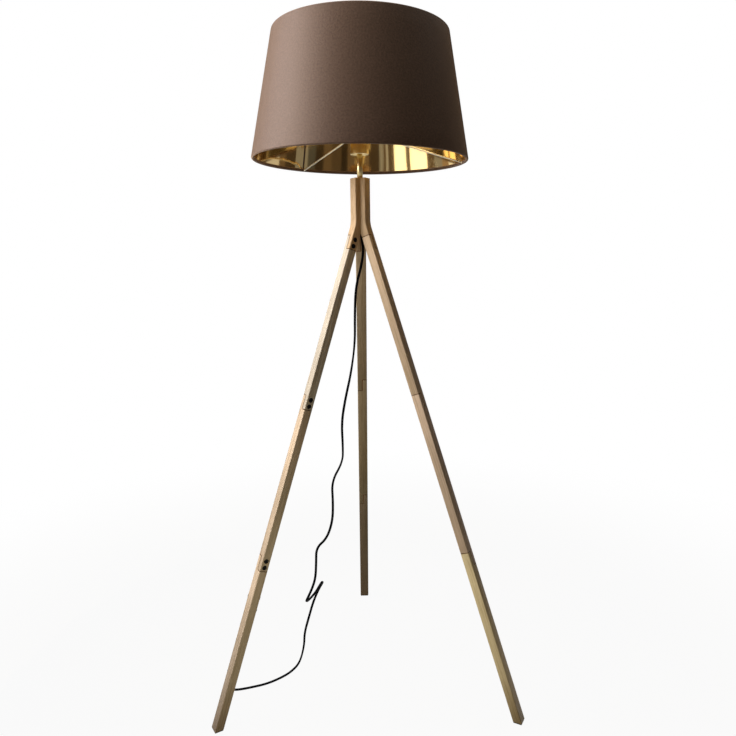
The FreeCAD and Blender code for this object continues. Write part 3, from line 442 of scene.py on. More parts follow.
def bearing(left_of_front):
    """The level direction at an angle to the left of the front, in degrees."""
    angle = math.radians(left_of_front)
    return Vector((-math.sin(angle), -math.cos(angle), 0))


def card(name, first, last, reach, low, high, glow, tint):
    """An upright, softly glowing card between two bearings, which the camera doesn't see."""
    material, card_tree = new_material(name)
    lit = add_node(card_tree, "ShaderNodeEmission", Color=linear(tint), Strength=glow)
    add_node(card_tree, "ShaderNodeOutputMaterial", Surface=lit.outputs[0])
    card_bm = bmesh.new()
    steps = max(1, round(abs(last - first) / CARD_FACET))
    places = [bearing(first + (last - first) * i / steps) * reach for i in range(steps + 1)]
    foot = [card_bm.verts.new((p.x, p.y, low)) for p in places]
    edges = [card_bm.edges.new(pair) for pair in zip(foot, foot[1:])]
    lifted = bmesh.ops.extrude_edge_only(card_bm, edges=edges)["geom"]
    top = [g for g in lifted if isinstance(g, bmesh.types.BMVert)]
    bmesh.ops.translate(card_bm, verts=top, vec=(0, 0, high - low))
    thing = staged(name, card_bm, material)
    thing.visible_camera = False
    return thing


WALL_REACH, WALL_HIGH, WALL_TINT = 2.9, 3.0, "#fff4e6"
# Each from a bearing to a bearing, with its glow.
WALLS = [
    ("front_wall", -45, 44, 0.06), ("right_wall", -185, -45, 0.08), ("left_wall", 88, 150, 0.25),
]
for wall_name, first, last, glow in WALLS:
    card(wall_name, first, last, WALL_REACH, 0.0, WALL_HIGH, glow, WALL_TINT)
BAND_REACH, BAND_LOW, BAND_HIGH = 2.7, 0.40, 1.15
WARM, COOL = "#ffdcb8", "#fafaff"
# Each from a bearing to a bearing, with its glow and its tint.
BANDS = [
    (-165, -142, 0.34, WARM), (-142, -132, 0.16, COOL), (-132, -108, 0.62, COOL),
    (-108, -98, 0.14, WARM), (-98, -78, 0.06, WARM), (-78, -66, 0.26, COOL),
    (-66, -56, 0.08, COOL), (-56, -45, 0.04, WARM), (-45, -34, 0.12, WARM),
    (-34, -23, 0.08, WARM), (-23, -15, 0.03, WARM), (-15, -5, 0.13, WARM), (-5, 12, 0.16, WARM),
    (12, 25, 0.06, WARM), (25, 29, 0.32, COOL), (29, 33, 0.12, WARM), (33, 36, 0.44, COOL),
    (36, 44, 0.10, WARM), (60, 65, 0.12, WARM), (88, 100, 0.14, WARM), (100, 112, 0.30, COOL),
    (112, 124, 0.34, WARM), (124, 136, 1.10, COOL), (136, 145, 0.75, COOL),
    (145, 165, 1.30, WARM),
]
for number, (first, last, glow, tint) in enumerate(BANDS):
    card(f"band_{number}", first, last, BAND_REACH, BAND_LOW, BAND_HIGH, glow, tint)
SILL_FROM, SILL_TO, SILL_REACH, SILL_HIGH, SILL_GLOW = 28, 140, 0.85, 0.50, 0.02
card("low_wall", SILL_FROM, SILL_TO, SILL_REACH, 0.0, SILL_HIGH, SILL_GLOW, COOL)
print("walls:", len(WALLS) + 1, "bands:", len(BANDS))

# %% [markdown]
# ## Daylight
#
# The lamp is lit by windows on its left. Four panes stand in the ring between the cards, where the
# film mirrors them, dimmer below and brighter above. A large soft light, nearer and above the
# shade's height, gives the long bright faces of the legs and the gentle shading of the cloth. A
# small dim card low down in front opens the shadow on the inner face of the left leg.
#
# Rectangular area lights are used, because they sit in the studio like real panes, with soft
# shadows, and show in the film as the shapes that they are. A sun would give hard shadows. The
# brightness of each is given for its face, so that a larger pane isn't a dimmer one.

# %% Windows and daylight
PANE_REACH = 2.6
# The lower and upper part of a window: from a height, to a height, and its tint.
PANE_PARTS = {"low": (0.45, 1.2, "#fff6e8"), "high": (1.2, 2.8, "#f8faff")}
# Each window from a bearing to a bearing, with the glow of its parts.
PANES = [
    ("front_pane", 44, 60, {"low": 1.15, "high": 1.8}),
    ("back_pane", 65, 88, {"low": 1.15, "high": 6.5}),
]
DAY_PLACE, DAY_AIM, DAY_TINT = (-1.25, -0.20, 1.85), (1, 0.15, 0), "#eef2ff"
DAY_GLOW, DAY_WIDTH, DAY_HEIGHT = 7.3, 1.2, 1.5
LOW_PLACE, LOW_AIM, LOW_TINT = (-0.05, -0.55, 0.26), (-0.5, 0.87, 0), "#f2fff0"
LOW_GLOW, LOW_SIZE = 1.4, 0.3


def soft_light(name, place, aim, width, height, radiance, colour):
    """A rectangular light; its power is its face's brightness times pi times its area."""
    data = bpy.data.lights.new(name, "AREA")
    data.shape = "RECTANGLE"
    data.size, data.size_y = width, height
    data.energy = radiance * math.pi * width * height
    data.color = linear(colour)[:3]
    light = bpy.data.objects.new(name, data)
    SCENE.collection.objects.link(light)
    light.location = place
    light.rotation_euler = Vector(aim).to_track_quat("-Z", "Y").to_euler()
    return light


for pane_name, first, last, glows in PANES:
    middle = bearing((first + last) / 2)
    width = 2 * PANE_REACH * math.tan(math.radians((last - first) / 2))
    for part, (low, high, tint) in PANE_PARTS.items():
        place = middle * PANE_REACH + Vector((0, 0, (low + high) / 2))
        soft_light(f"{pane_name}_{part}", place, -middle, width, high - low, glows[part], tint)
soft_light("daylight", DAY_PLACE, DAY_AIM, DAY_WIDTH, DAY_HEIGHT, DAY_GLOW, DAY_TINT)
soft_light("low_card", LOW_PLACE, LOW_AIM, LOW_SIZE, LOW_SIZE, LOW_GLOW, LOW_TINT)

# %% [markdown]
# ## Soft edges on the CAD pieces
#
# The CAD bars and fittings already have the right shape, so they stay as they are. But their edges
# are knife sharp, and on real wood a sanded edge catches a thread of light. The edges could be
# rounded in the mesh itself. Modifiers do it without touching the mesh: the triangles are joined,
# flat faces are merged, and a small bevel rounds every real edge. Last, a small node group shades
# the mesh smooth, except across the edges that are truly sharp.


# %% Soft edges
SHARP_ANGLE, FLAT_ANGLE = math.radians(32), math.radians(0.5)
WELD_REACH = 1e-6
EDGE_STEPS = 2


def smooth_by_angle(limit):
    """A node group that shades smooth across edges flatter than the limit."""
    group = bpy.data.node_groups.new("smooth_by_angle", "GeometryNodeTree")
    group.interface.new_socket("Geometry", in_out="INPUT", socket_type="NodeSocketGeometry")
    group.interface.new_socket("Geometry", in_out="OUTPUT", socket_type="NodeSocketGeometry")
    source = add_node(group, "NodeGroupInput")
    angle = add_node(group, "GeometryNodeInputMeshEdgeAngle")
    flat = add_node(
        group, "FunctionNodeCompare", {"operation": "LESS_EQUAL"}, _0=angle.outputs[0], _1=limit
    )
    faces = add_node(
        group, "GeometryNodeSetShadeSmooth", {"domain": "FACE"}, Geometry=source.outputs[0]
    )
    edges = add_node(
        group, "GeometryNodeSetShadeSmooth", {"domain": "EDGE"}, Geometry=faces.outputs[0],
        Shade_Smooth=flat.outputs[0],
    )
    add_node(group, "NodeGroupOutput", _0=edges.outputs[0])
    return group


SMOOTHING = smooth_by_angle(SHARP_ANGLE)


def finish_node(name, material, edge=0.0):
    """Gives a CAD node its material, joins its triangles and rounds its edges."""
    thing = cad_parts[name]
    thing.data.materials.clear()
    thing.data.materials.append(material)
    weld = thing.modifiers.new("join", "WELD")
    weld.merge_threshold = WELD_REACH
    if edge:
        flatten = thing.modifiers.new("flatten", "DECIMATE")
        flatten.decimate_type = "DISSOLVE"
        flatten.angle_limit = FLAT_ANGLE
        bevel = thing.modifiers.new("round", "BEVEL")
        bevel.width = mm(edge)
        bevel.segments = EDGE_STEPS
        bevel.limit_method = "ANGLE"
        bevel.angle_limit = SHARP_ANGLE
    shade = thing.modifiers.new("smooth", "NODES")
    shade.node_group = SMOOTHING
    return thing


print("edges sharper than", round(math.degrees(SHARP_ANGLE)), "degrees stay crisp")

# %% [markdown]
# ## Wood
#
# Grain runs along a bar, so the pattern has to know where the bar runs. An image of wood would
# need a map on each bar, and would show its repeat. Instead, a Mapping node turns each point's
# place about the lamp's axis, leans it with the leg and moves it to the foot, until Z runs up
# along the leg and Y runs across it. Grain, pores and joint lines are all drawn in that one set of
# directions.

# %% A leg's own directions
LEG_TILT, ELBOW_TILT = 19.0, 8.0
LEG_TURN = {"left": 210.0, "right": 330.0, "back": 90.0}
FOOT_REACH = mm(377.42)


def along_leg(tree, turn, lean):
    """Object coordinates turned so that Z runs along a leg from its foot and Y across it."""
    place = add_node(tree, "ShaderNodeTexCoord").outputs["Object"]
    tilt = math.radians(lean)
    upright = Matrix.Rotation(tilt, 3, "Y") @ Matrix.Rotation(-math.radians(turn), 3, "Z")
    to_foot = (-FOOT_REACH * math.cos(tilt), 0, FOOT_REACH * math.sin(tilt))
    return add_node(
        tree, "ShaderNodeMapping", Vector=place, Rotation=upright.to_euler(), Location=to_foot
    ).outputs[0]


print("legs turned by", list(LEG_TURN.values()), "and tilted by", LEG_TILT, "degrees")

# %% [markdown]
# Two boards meet in a half-lap joint: each is cut to half its thickness over 30 mm, and they lie
# side by side there. From outside, the joint is a thin dark step: a line across one half, a line
# along the split, and a line across the other half. The CAD bars fit without a gap, so the lines
# are drawn in the wood's colour, in the places where the joints really are.

# %% Joint lines
LAP = 30.0
JOINTS = {"lower": [350.0], "middle": [350.0, 700.0], "upper": [700.0, 1050.0], "elbow": [1050.0]}
SEAM_LINE, SEAM_FADE = 0.6, 0.5
SPLIT_LINE, SPLIT_FADE = 0.9, 0.4


def joint_lines(tree, turn, seams):
    """1 on the dark edge of each lap joint: across each half bar, and along the split."""
    parts = add_node(tree, "ShaderNodeSeparateXYZ", Vector=along_leg(tree, turn, LEG_TILT))
    across_leg, station = parts.outputs[1], parts.outputs[2]
    far_half = add_node(
        tree, "ShaderNodeMath", {"operation": "LESS_THAN"}, _0=across_leg, _1=0.0
    ).outputs[0]
    stepped = add_node(
        tree, "ShaderNodeMath", {"operation": "MULTIPLY_ADD"},
        _0=far_half, _1=-mm(LAP), _2=station,
    ).outputs[0]
    from_split = add_node(tree, "ShaderNodeMath", {"operation": "ABSOLUTE"}, _0=across_leg)
    split = add_node(
        tree, "ShaderNodeMapRange", Value=from_split.outputs[0], From_Min=mm(SPLIT_LINE),
        From_Max=mm(SPLIT_LINE + SPLIT_FADE), To_Min=1.0, To_Max=0.0,
    ).outputs[0]
    total = 0.0
    for seam in seams:
        past = add_node(
            tree, "ShaderNodeMath", {"operation": "SUBTRACT"}, _0=stepped, _1=mm(seam)
        )
        away = add_node(tree, "ShaderNodeMath", {"operation": "ABSOLUTE"}, _0=past.outputs[0])
        cross_line = add_node(
            tree, "ShaderNodeMapRange", Value=away.outputs[0], From_Min=mm(SEAM_LINE),
            From_Max=mm(SEAM_LINE + SEAM_FADE), To_Min=1.0, To_Max=0.0,
        )
        in_lap = add_node(
            tree, "ShaderNodeMath", {"operation": "COMPARE"},
            _0=station, _1=mm(seam + LAP / 2), _2=mm(LAP / 2),
        )
        long_line = add_node(
            tree, "ShaderNodeMath", {"operation": "MULTIPLY"}, _0=split, _1=in_lap.outputs[0]
        )
        for line in (cross_line, long_line):
            total = add_node(
                tree, "ShaderNodeMath", {"operation": "MAXIMUM"}, _0=total, _1=line.outputs[0]
            ).outputs[0]
    return total


print("joints along a leg at", sorted({seam for seams in JOINTS.values() for seam in seams}))

# %% [markdown]
# The bars are rubberwood, planed and sanded. Three patterns of noise make it: long streaks, a
# couple of millimetres wide and as long as a hand; short dark pores; and a broad change of tone
# along the board. One pattern would be quicker, but wood seen up close and wood seen from across
# the room are not the same thing, and each needs its own. The pores of real rubberwood are about
# 0.3 mm wide, and are drawn three times as coarse, because finer ones would not show.

# %% Grain and pores
# Each pattern's cell across and along the bar in millimetres, its detail, roughness and bend.
WOOD_PATTERNS = {
    "streaks": (2.4, 90.0, 4.0, 0.6, 0.4), "pores": (0.9, 11.25, 2.0, 0.5, 0.0),
    "figure": (111.11, 111.11, 2.0, 0.5, 0.0),
}
DARK_STREAK, PALE_STREAK = 0.30, 0.52
PORE_STARTS, PORE_FULL, PORE_SHARE = 0.56, 0.72, 0.45
FIGURE_LOW, FIGURE_HIGH, FIGURE_DARK, FIGURE_PALE = 0.35, 0.65, 0.90, 1.06


def per_metre(*sizes):
    """How many cells of a pattern fit in a metre each way, from its cell's size in mm."""
    return tuple(1 / mm(size) for size in sizes)


def board_colour(tree, place, pale, dark):
    """The colour of bare wood at a place in the pattern, and the height of its streaks."""
    patterns = {}
    for kind, (wide, long, detail, roughness, bend) in WOOD_PATTERNS.items():
        cells = add_node(
            tree, "ShaderNodeMapping", Vector=place, Scale=per_metre(wide, wide, long)
        )
        patterns[kind] = add_node(
            tree, "ShaderNodeTexNoise", Vector=cells.outputs[0], Scale=1.0, Detail=detail,
            Roughness=roughness, Distortion=bend,
        ).outputs["Fac"]
    paleness = add_node(
        tree, "ShaderNodeMapRange", Value=patterns["streaks"], From_Min=DARK_STREAK,
        From_Max=PALE_STREAK,
    )
    streaked = add_node(
        tree, "ShaderNodeMix", {"data_type": "RGBA"},
        _0=paleness.outputs[0], _6=linear(dark), _7=linear(pale),
    ).outputs[2]
    speckle = add_node(
        tree, "ShaderNodeMapRange", Value=patterns["pores"], From_Min=PORE_STARTS,
        From_Max=PORE_FULL, To_Max=PORE_SHARE,
    )
    speckled = add_node(
        tree, "ShaderNodeMix", {"data_type": "RGBA"},
        _0=speckle.outputs[0], _6=streaked, _7=linear(dark),
    ).outputs[2]
    tone = add_node(
        tree, "ShaderNodeMapRange", Value=patterns["figure"], From_Min=FIGURE_LOW,
        From_Max=FIGURE_HIGH, To_Min=FIGURE_DARK, To_Max=FIGURE_PALE,
    )
    colour = add_node(
        tree, "ShaderNodeVectorMath", {"operation": "SCALE"}, _0=speckled, Scale=tone.outputs[0]
    ).outputs[0]
    return colour, patterns["streaks"]


for kind, (wide, long, *_) in WOOD_PATTERNS.items():
    print(kind, "are", wide, "mm wide and", long, "mm long")

# %% [markdown]
# The bare wood is sealed with a thin matt lacquer, rubbed down between coats. The streaks still
# lift the surface a little, which breaks up the gloss, and a bump is enough for so little. The last
# hand's breadth of each leg is painted darker and browner: painted shade where the legs meet the
# floor. A darker board would end in a line, so the painted shade fades out up the leg.

# %% Rubberwood
BOARD_SHIFT = (0.37, 0.53, 1.71)
# The second brown, with the reach and share below it, is painted shade at the feet.
JOINT_BROWN, FOOT_SHADE_BROWN = "#6a4a2a", "#664716"
FOOT_SHADE_REACH, FOOT_SHADE_SHARE = 110.0, 0.62


def rubberwood(name, turn, lean, seams, board, pale, dark):
    """Planed, lacquered rubberwood, with its grain along a bar turned and leaned from +Z."""
    material, tree = new_material(name)
    place = add_node(
        tree, "ShaderNodeVectorMath", {"operation": "ADD"},
        _0=along_leg(tree, turn, lean), _1=tuple(board * part for part in BOARD_SHIFT),
    ).outputs[0]
    bare, streaks = board_colour(tree, place, pale, dark)
    edged = add_node(
        tree, "ShaderNodeMix", {"data_type": "RGBA"},
        _0=joint_lines(tree, turn, seams), _6=bare, _7=linear(JOINT_BROWN),
    ).outputs[2]
    # Painted shade: near each foot the colour is mixed towards a dark brown, fading out over the
    # first 110 mm up the leg.
    parts = add_node(tree, "ShaderNodeSeparateXYZ", Vector=along_leg(tree, turn, LEG_TILT))
    foot_shade = add_node(
        tree, "ShaderNodeMapRange", Value=parts.outputs[2], From_Min=0.0,
        From_Max=mm(FOOT_SHADE_REACH), To_Min=FOOT_SHADE_SHARE, To_Max=0.0,
    )
    shaded = add_node(
        tree, "ShaderNodeMix", {"data_type": "RGBA"},
        _0=foot_shade.outputs[0], _6=edged, _7=linear(FOOT_SHADE_BROWN),
    ).outputs[2]
    bump = add_node(tree, "ShaderNodeBump", Strength=0.15, Distance=mm(0.15), Height=streaks)
    # A thin matt lacquer lies close on the wood. Its gloss is weaker than a thick varnish's, so
    # its IOR is below 1.5, and what it reflects takes on some of the wood's warmth.
    wood = add_node(
        tree, "ShaderNodeBsdfPrincipled", Base_Color=shaded, Roughness=0.50, IOR=1.38,
        Specular_Tint=linear("#ffe2b0"), Normal=bump.outputs[0],
    )
    add_node(tree, "ShaderNodeOutputMaterial", Surface=wood.outputs[0])
    return material


print("feet soaked over", FOOT_SHADE_REACH, "mm")

# %% [markdown]
# The bars of one lamp are cut from many boards, and no two boards have the same colour. One wood
# with a random tint would do, but a maker sorts boards: the elbows are the warmest and one lower
# bar is plainly yellower. Some bars also carry painted light and shade in their colours: the back
# leg is darker, partly as its board's tone and partly as painted shade, and darkest on its lower
# bar near the floor; the right leg's upper bar is darker as painted shade; and the left leg's upper
# bar is paler and whiter as a painted highlight. So each bar has its own pair of colours, one for
# the pale wood and one for the dark streaks, and its own place in the pattern.

# %% Boards
LEG_SHADES = ("#dabf9e", "#bb9e7a")
ELBOW_SHADES = ("#cbab83", "#a98961")
# Partly board tone and partly painted shade: the back leg's upper bar is darker than the other
# legs.
BACK_TONE_AND_PAINTED_SHADE = ("#b49d7a", "#957e5c")
# Bars with colours of their own: on the back leg's lower and middle bars painted shade, darkest on
# the lower one; on the right leg's upper bar painted shade; on the left leg's upper bar a painted
# highlight, paler and whiter. The other entries are board tone.
BOARD_TONES_AND_PAINTED_LIGHT = {
    ("back", "lower"): ("#877359", "#6d5a40"), ("back", "middle"): ("#a8926f", "#8b7452"),
    ("right", "lower"): ("#e1c997", "#c1a674"), ("left", "lower"): ("#e6c9a6", "#c5a780"),
    ("right", "middle"): ("#c7ab8c", "#aa8f72"), ("right", "upper"): ("#cdb08d", "#b0926d"),
    ("left", "upper"): ("#cfbfa6", "#b09e83"),
}
SANDED_EDGE = 0.5
board = 0
for side, turn_angle in LEG_TURN.items():
    board += 1
    elbow_wood = rubberwood(
        f"rubberwood_elbow_{side}", turn_angle, ELBOW_TILT, JOINTS["elbow"], board, *ELBOW_SHADES
    )
    finish_node("elbow_" + side, elbow_wood, SANDED_EDGE)
    for level in ("lower", "middle", "upper"):
        board += 1
        shades = BOARD_TONES_AND_PAINTED_LIGHT.get((side, level), BACK_TONE_AND_PAINTED_SHADE if side == "back" else LEG_SHADES)
        bar_wood = rubberwood(
            f"rubberwood_{side}_{level}", turn_angle, LEG_TILT, JOINTS[level], board, *shades
        )
        finish_node(f"leg_{side}_{level}", bar_wood, SANDED_EDGE)
print("wooden pieces finished:", board)

# %% [markdown]
# ## Turned pieces
#
# The cup, the stem, the wire rings and the shade itself are all round. A cylinder could be cut and
# pushed into shape, but the spin operator does what a lathe does, in one step: a profile is turned
# about the lamp's axis. The profile is a chain of (radius, height) points in millimetres, in the
# order in which a lathe tool would follow them.


# %% Turn a profile
AXIS = Vector((0, 0, 1))
SAME_PLACE = 1e-7


def turned(profile, steps, start=0.0, closed=False):
    """Spins (radius, height) points right round the axis, from a start angle in degrees."""
    bm = bmesh.new()
    angle = math.radians(start)
    verts = [bm.verts.new(mm(r * math.cos(angle), r * math.sin(angle), z)) for r, z in profile]
    edges = [bm.edges.new(pair) for pair in zip(verts, verts[1:])]
    if closed:
        edges.append(bm.edges.new((verts[-1], verts[0])))
    bmesh.ops.spin(
        bm, geom=verts + edges, cent=(0, 0, 0), axis=AXIS, dvec=(0, 0, 0),
        angle=math.tau, steps=steps, use_merge=True, use_duplicate=False,
    )
    bmesh.ops.remove_doubles(bm, verts=bm.verts, dist=SAME_PLACE)
    bmesh.ops.recalc_face_normals(bm, faces=bm.faces)
    return bm


def face_outwards(bm):
    """Turns an open round sheet so that its largest faces look away from the axis."""
    wall = max(bm.faces, key=lambda face: face.calc_area())
    middle = wall.calc_center_median()
    if wall.normal.dot(Vector((middle.x, middle.y, 0))) < 0:
        bmesh.ops.reverse_faces(bm, faces=bm.faces)


def arc(centre, radius, first, last, steps):
    """Points of an arc in the (radius, height) plane, between two angles in degrees."""
    angles = [math.radians(first + (last - first) * i / steps) for i in range(steps + 1)]
    return [(centre[0] + radius * math.cos(a), centre[1] + radius * math.sin(a)) for a in angles]


def thicken(piece, thickness, offset):
    """Gives a sheet its thickness; an offset of -1 builds it behind the modelled side."""
    solid = piece.modifiers.new("thickness", "SOLIDIFY")
    solid.thickness = thickness
    solid.offset = offset


print("lathe ready, turning about", tuple(AXIS))

# %% [markdown]
# ## The shade's shape
#
# The cover is one strip of woven satin, stuck to a stiff film, wrapped round two wire rings and
# lapped by a centimetre at the back left. The whole shade sits about one degree out of true on its
# holder, and a little more than a millimetre to one side, as such shades usually do. Its pieces
# are made upright, and one matrix leans and shifts them all at the end, because a round piece is
# easy to make straight and hard to make leaning.
#
# Two measures place every point of the strip: how deep it lies inside the wall, and its angle past
# the seam. They also give the cloth its map, in metres of cloth, so that the weave follows the
# strip and not the room.

# %% Sizes of the shade
SHADE_LOW, SHADE_HIGH = 1171.85, 1421.85
SHADE_WIDE, SHADE_NARROW = 225.0, 180.0
CARRIER_LOW, CARRIER_HIGH = 1223.85, 1225.35
SEAM_AT = 126.0
SHADE_LEAN, SHADE_SLIP = 1.07, 1.4
lean_pivot = Matrix.Translation(mm(0, 0, CARRIER_LOW))
leaned = lean_pivot @ Matrix.Rotation(math.radians(SHADE_LEAN), 4, "Y") @ lean_pivot.inverted()
LEAN = Matrix.Translation(mm(SHADE_SLIP, 0, 0)) @ leaned
HALF_TURN, FULL_TURN = 180, 360


def set_in(depth, z):
    """The (radius, height) of a point that lies some depth inside the shade's outer wall."""
    share = (z - SHADE_LOW) / (SHADE_HIGH - SHADE_LOW)
    return SHADE_WIDE + (SHADE_NARROW - SHADE_WIDE) * share - depth, z


def from_seam(co):
    """A point's angle past the seam, in degrees."""
    return (math.degrees(math.atan2(co.y, co.x)) - SEAM_AT) % FULL_TURN


def set_angle(vert, past_seam, rise):
    """Moves a vertex round the axis to an angle past the seam, and outwards by a rise."""
    reach = math.hypot(vert.co.x, vert.co.y) + mm(rise)
    angle = math.radians(SEAM_AT + past_seam)
    vert.co = Vector((reach * math.cos(angle), reach * math.sin(angle), vert.co.z))


def cloth_map(bm, rows_from):
    """A map in metres of cloth: round the shade from the seam, and up the strip."""
    layer = bm.loops.layers.uv.new("cloth")
    middle_reach = mm((SHADE_WIDE + SHADE_NARROW) / 2)
    for face in bm.faces:
        middle = from_seam(face.calc_center_median())
        for loop in face.loops:
            angle = from_seam(loop.vert.co)
            if angle - middle > HALF_TURN:
                angle -= FULL_TURN
            elif middle - angle > HALF_TURN:
                angle += FULL_TURN
            loop[layer].uv = (math.radians(angle) * middle_reach, rows_from(loop.vert.co))


print("shade", 2 * SHADE_WIDE, "mm across below and", 2 * SHADE_NARROW, "mm across above")

# %% [markdown]
# The cover's edges are rolled over the rings and tucked in, which leaves a soft round rim and a
# narrow hem inside. A cloth simulation could wrap it, but stretched cloth has no folds to find, so
# it is turned as an open sheet from a profile that has the rolls and hems in it. The columns of
# faces beside the seam are then moved: the first one stands almost upright, as the cut end of the
# lap does, and the next few lie on the other end. The edges along that step stay sharp, so that
# the lap shows as one crisp line. The sheet gets its thickness last.

# %% Shade cover
COVER_COLUMNS, COVER_ROWS = 240, 8
RIM_ROUND, RIM_STEPS = 3.28, 12
# Depth inside the wall, and distance from the rim.
HEM = [(3.2, 6.9), (5.2, 5.9), (6.3, 4.6)]
CLOTH = 0.8
# Columns past the seam, and how far each is lifted, in millimetres.
LAP_RISES = {1: 0.7, 2: 0.65, 3: 0.25}
LAP_STEP = 0.05
LAP_EDGE = {0, 1}


def cover_profile():
    """From the lower hem, under the lower rim, up the wall and over the top to the upper hem."""
    turns = [math.radians(HALF_TURN * step / RIM_STEPS) for step in range(RIM_STEPS + 1)]
    low, high = SHADE_LOW + RIM_ROUND, SHADE_HIGH - RIM_ROUND
    bottom = [set_in(RIM_ROUND * (1 + math.cos(a)), low - RIM_ROUND * math.sin(a)) for a in turns]
    top = [set_in(RIM_ROUND * (1 - math.cos(a)), high + RIM_ROUND * math.sin(a)) for a in turns]
    wall = [set_in(0, low + (high - low) * row / COVER_ROWS) for row in range(1, COVER_ROWS)]
    low_hem = [set_in(depth, SHADE_LOW + rise) for depth, rise in HEM]
    high_hem = [set_in(depth, SHADE_HIGH - rise) for depth, rise in reversed(HEM)]
    return low_hem + bottom + wall + top + high_hem


def up_the_cloth(co):
    """Height, carried on under the rims by how far in the point lies."""
    depth = mm(set_in(0, co.z * 1000)[0]) - math.hypot(co.x, co.y)
    middle = mm((SHADE_LOW + SHADE_HIGH) / 2)
    return co.z - math.copysign(depth, middle - co.z)


bm = turned(cover_profile(), COVER_COLUMNS, SEAM_AT)
face_outwards(bm)
step_angle = FULL_TURN / COVER_COLUMNS
column_of = {vert: round(from_seam(vert.co) / step_angle) % COVER_COLUMNS for vert in bm.verts}
for edge in bm.edges:
    columns = {column_of[vert] for vert in edge.verts}
    edge.smooth = len(columns) > 1 or not columns <= LAP_EDGE
for vert, column in column_of.items():
    if column in LAP_RISES:
        past_seam = LAP_STEP if column == 1 else column * step_angle
        set_angle(vert, past_seam, LAP_RISES[column])
cloth_map(bm, up_the_cloth)
bmesh.ops.transform(bm, matrix=LEAN, verts=bm.verts)
shade_cover = piece_from("shade_cover", bm, "lamp")
thicken(shade_cover, mm(CLOTH), -1)
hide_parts("shade_fabric")
print("cover faces:", len(shade_cover.data.polygons))

# %% [markdown]
# ## The gold film
#
# Inside, the strip is faced with a metallised film. It is a mirror, but not a flat one: it was
# stuck down by hand and then bent into a drum, so it carries faint upright waves, which break up
# what it reflects into streaks. A bump in the material could only make the waves look rough, so
# they are real, less than half a millimetre deep, and die away at the rings. Three sizes of smooth
# noise are added up for them. Where the film's two ends meet, one lies a little proud of the other.

# %% Film lining
FILM_COLUMNS, FILM_ROWS = 900, 24
FILM_DEPTH, FILM_THICKNESS = 1.5, 0.25
FILM_SHORT, FILM_EDGE = 2.4, 0.3
FILM_WAVE, FILM_HELD = 0.30, 30
# Each wave's depth, its count round the shade, where its noise starts, and its slant.
FILM_WAVES = [
    (0.9, 2.2, (3.1, 0.4, 0.0), 0.7), (0.55, 6.5, (8.7, 2.2, 0.0), 1.1),
    (0.16, 19.0, (0.3, 5.9, 0.0), 1.6),
]
FILM_LAP, FILM_LAP_COLUMNS, FILM_LAP_FADE = 0.8, 16, 8
FILM_LAP_STEP = 0.04


def film_wave(angle, z):
    """All the waves added up, at an angle and a height."""
    height = (z - SHADE_LOW) / (SHADE_HIGH - SHADE_LOW)
    round_place = Vector((math.cos(math.radians(angle)), math.sin(math.radians(angle)), 0))
    total = 0.0
    for depth, count, start, slant in FILM_WAVES:
        place = round_place * count + Vector(start) + AXIS * (height * slant)
        total += depth * noise.noise(place)
    return total


def film_profile():
    """Up the inside of the cover, with a close pair of rows at each edge."""
    low, high = SHADE_LOW + FILM_SHORT, SHADE_HIGH - FILM_SHORT
    heights = [low + (high - low) * row / FILM_ROWS for row in range(FILM_ROWS + 1)]
    heights.insert(1, low + FILM_EDGE)
    heights.insert(-1, high - FILM_EDGE)
    return [set_in(FILM_DEPTH, z) for z in heights]


bm = turned(film_profile(), FILM_COLUMNS, SEAM_AT)
face_outwards(bm)
step_angle = FULL_TURN / FILM_COLUMNS
for vert in bm.verts:
    past_seam = from_seam(vert.co)
    column = round(past_seam / step_angle) % FILM_COLUMNS
    z = vert.co.z * 1000
    held = min(1.0, min(z - SHADE_LOW, SHADE_HIGH - z) / FILM_HELD)
    rise = -FILM_WAVE * film_wave(past_seam + SEAM_AT, z) * held
    if 0 < column < FILM_LAP_COLUMNS:
        rise -= FILM_LAP * min(1.0, (FILM_LAP_COLUMNS - column) / FILM_LAP_FADE)
    set_angle(vert, FILM_LAP_STEP if column == 1 else column * step_angle, rise)
cloth_map(bm, lambda co: co.z)
bmesh.ops.transform(bm, matrix=LEAN, verts=bm.verts)
gold_film = piece_from("gold_film", bm, "lamp")
thicken(gold_film, mm(FILM_THICKNESS), 1)
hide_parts("shade_lining")
print("film faces:", len(gold_film.data.polygons))

# %% [markdown]
# ## The shade's frame
#
# The frame is steel wire, coated cream. Two rings carry the rims, and three arms run from the
# lower ring up to a flat washer, which the holder's nut clamps. Each arm is welded at both ends,
# and the coating flows into a small blob round each weld.
#
# Wire could be drawn with bevelled curves. Here the rings are a small circle turned about the
# axis, and the arms are bars between two points, because both then have an exact thickness and
# closed ends. A ball, stretched along the wire, is enough for a weld.

# %% Tools for wire
RING_WIRE, ARM_WIRE = 2.0, 1.7
RING_DEPTH = 3.58
RING_COLUMNS, RING_SIDES = 180, 12
ARM_SIDES = 20
BLOB_STRETCH, BLOB_COLUMNS, BLOB_ROWS = 1.7, 16, 10


def wire_ring_mesh(z):
    """A ring of wire inside the cover at a height."""
    last = FULL_TURN * (1 - 1 / RING_SIDES)
    section = arc((set_in(RING_DEPTH, z)[0], z), RING_WIRE, 0, last, RING_SIDES - 1)
    return turned(section, RING_COLUMNS, closed=True)


def aimed_at(place, direction):
    """The matrix that puts a piece at a place, with its Z along a direction."""
    return Matrix.Translation(place) @ AXIS.rotation_difference(direction).to_matrix().to_4x4()


def add_wire(bm, start, end, radius):
    """A round bar between two points, with closed ends."""
    run = end - start
    bmesh.ops.create_cone(
        bm, cap_ends=True, cap_tris=False, segments=ARM_SIDES, radius1=radius, radius2=radius,
        depth=run.length, matrix=aimed_at((start + end) / 2, run),
    )


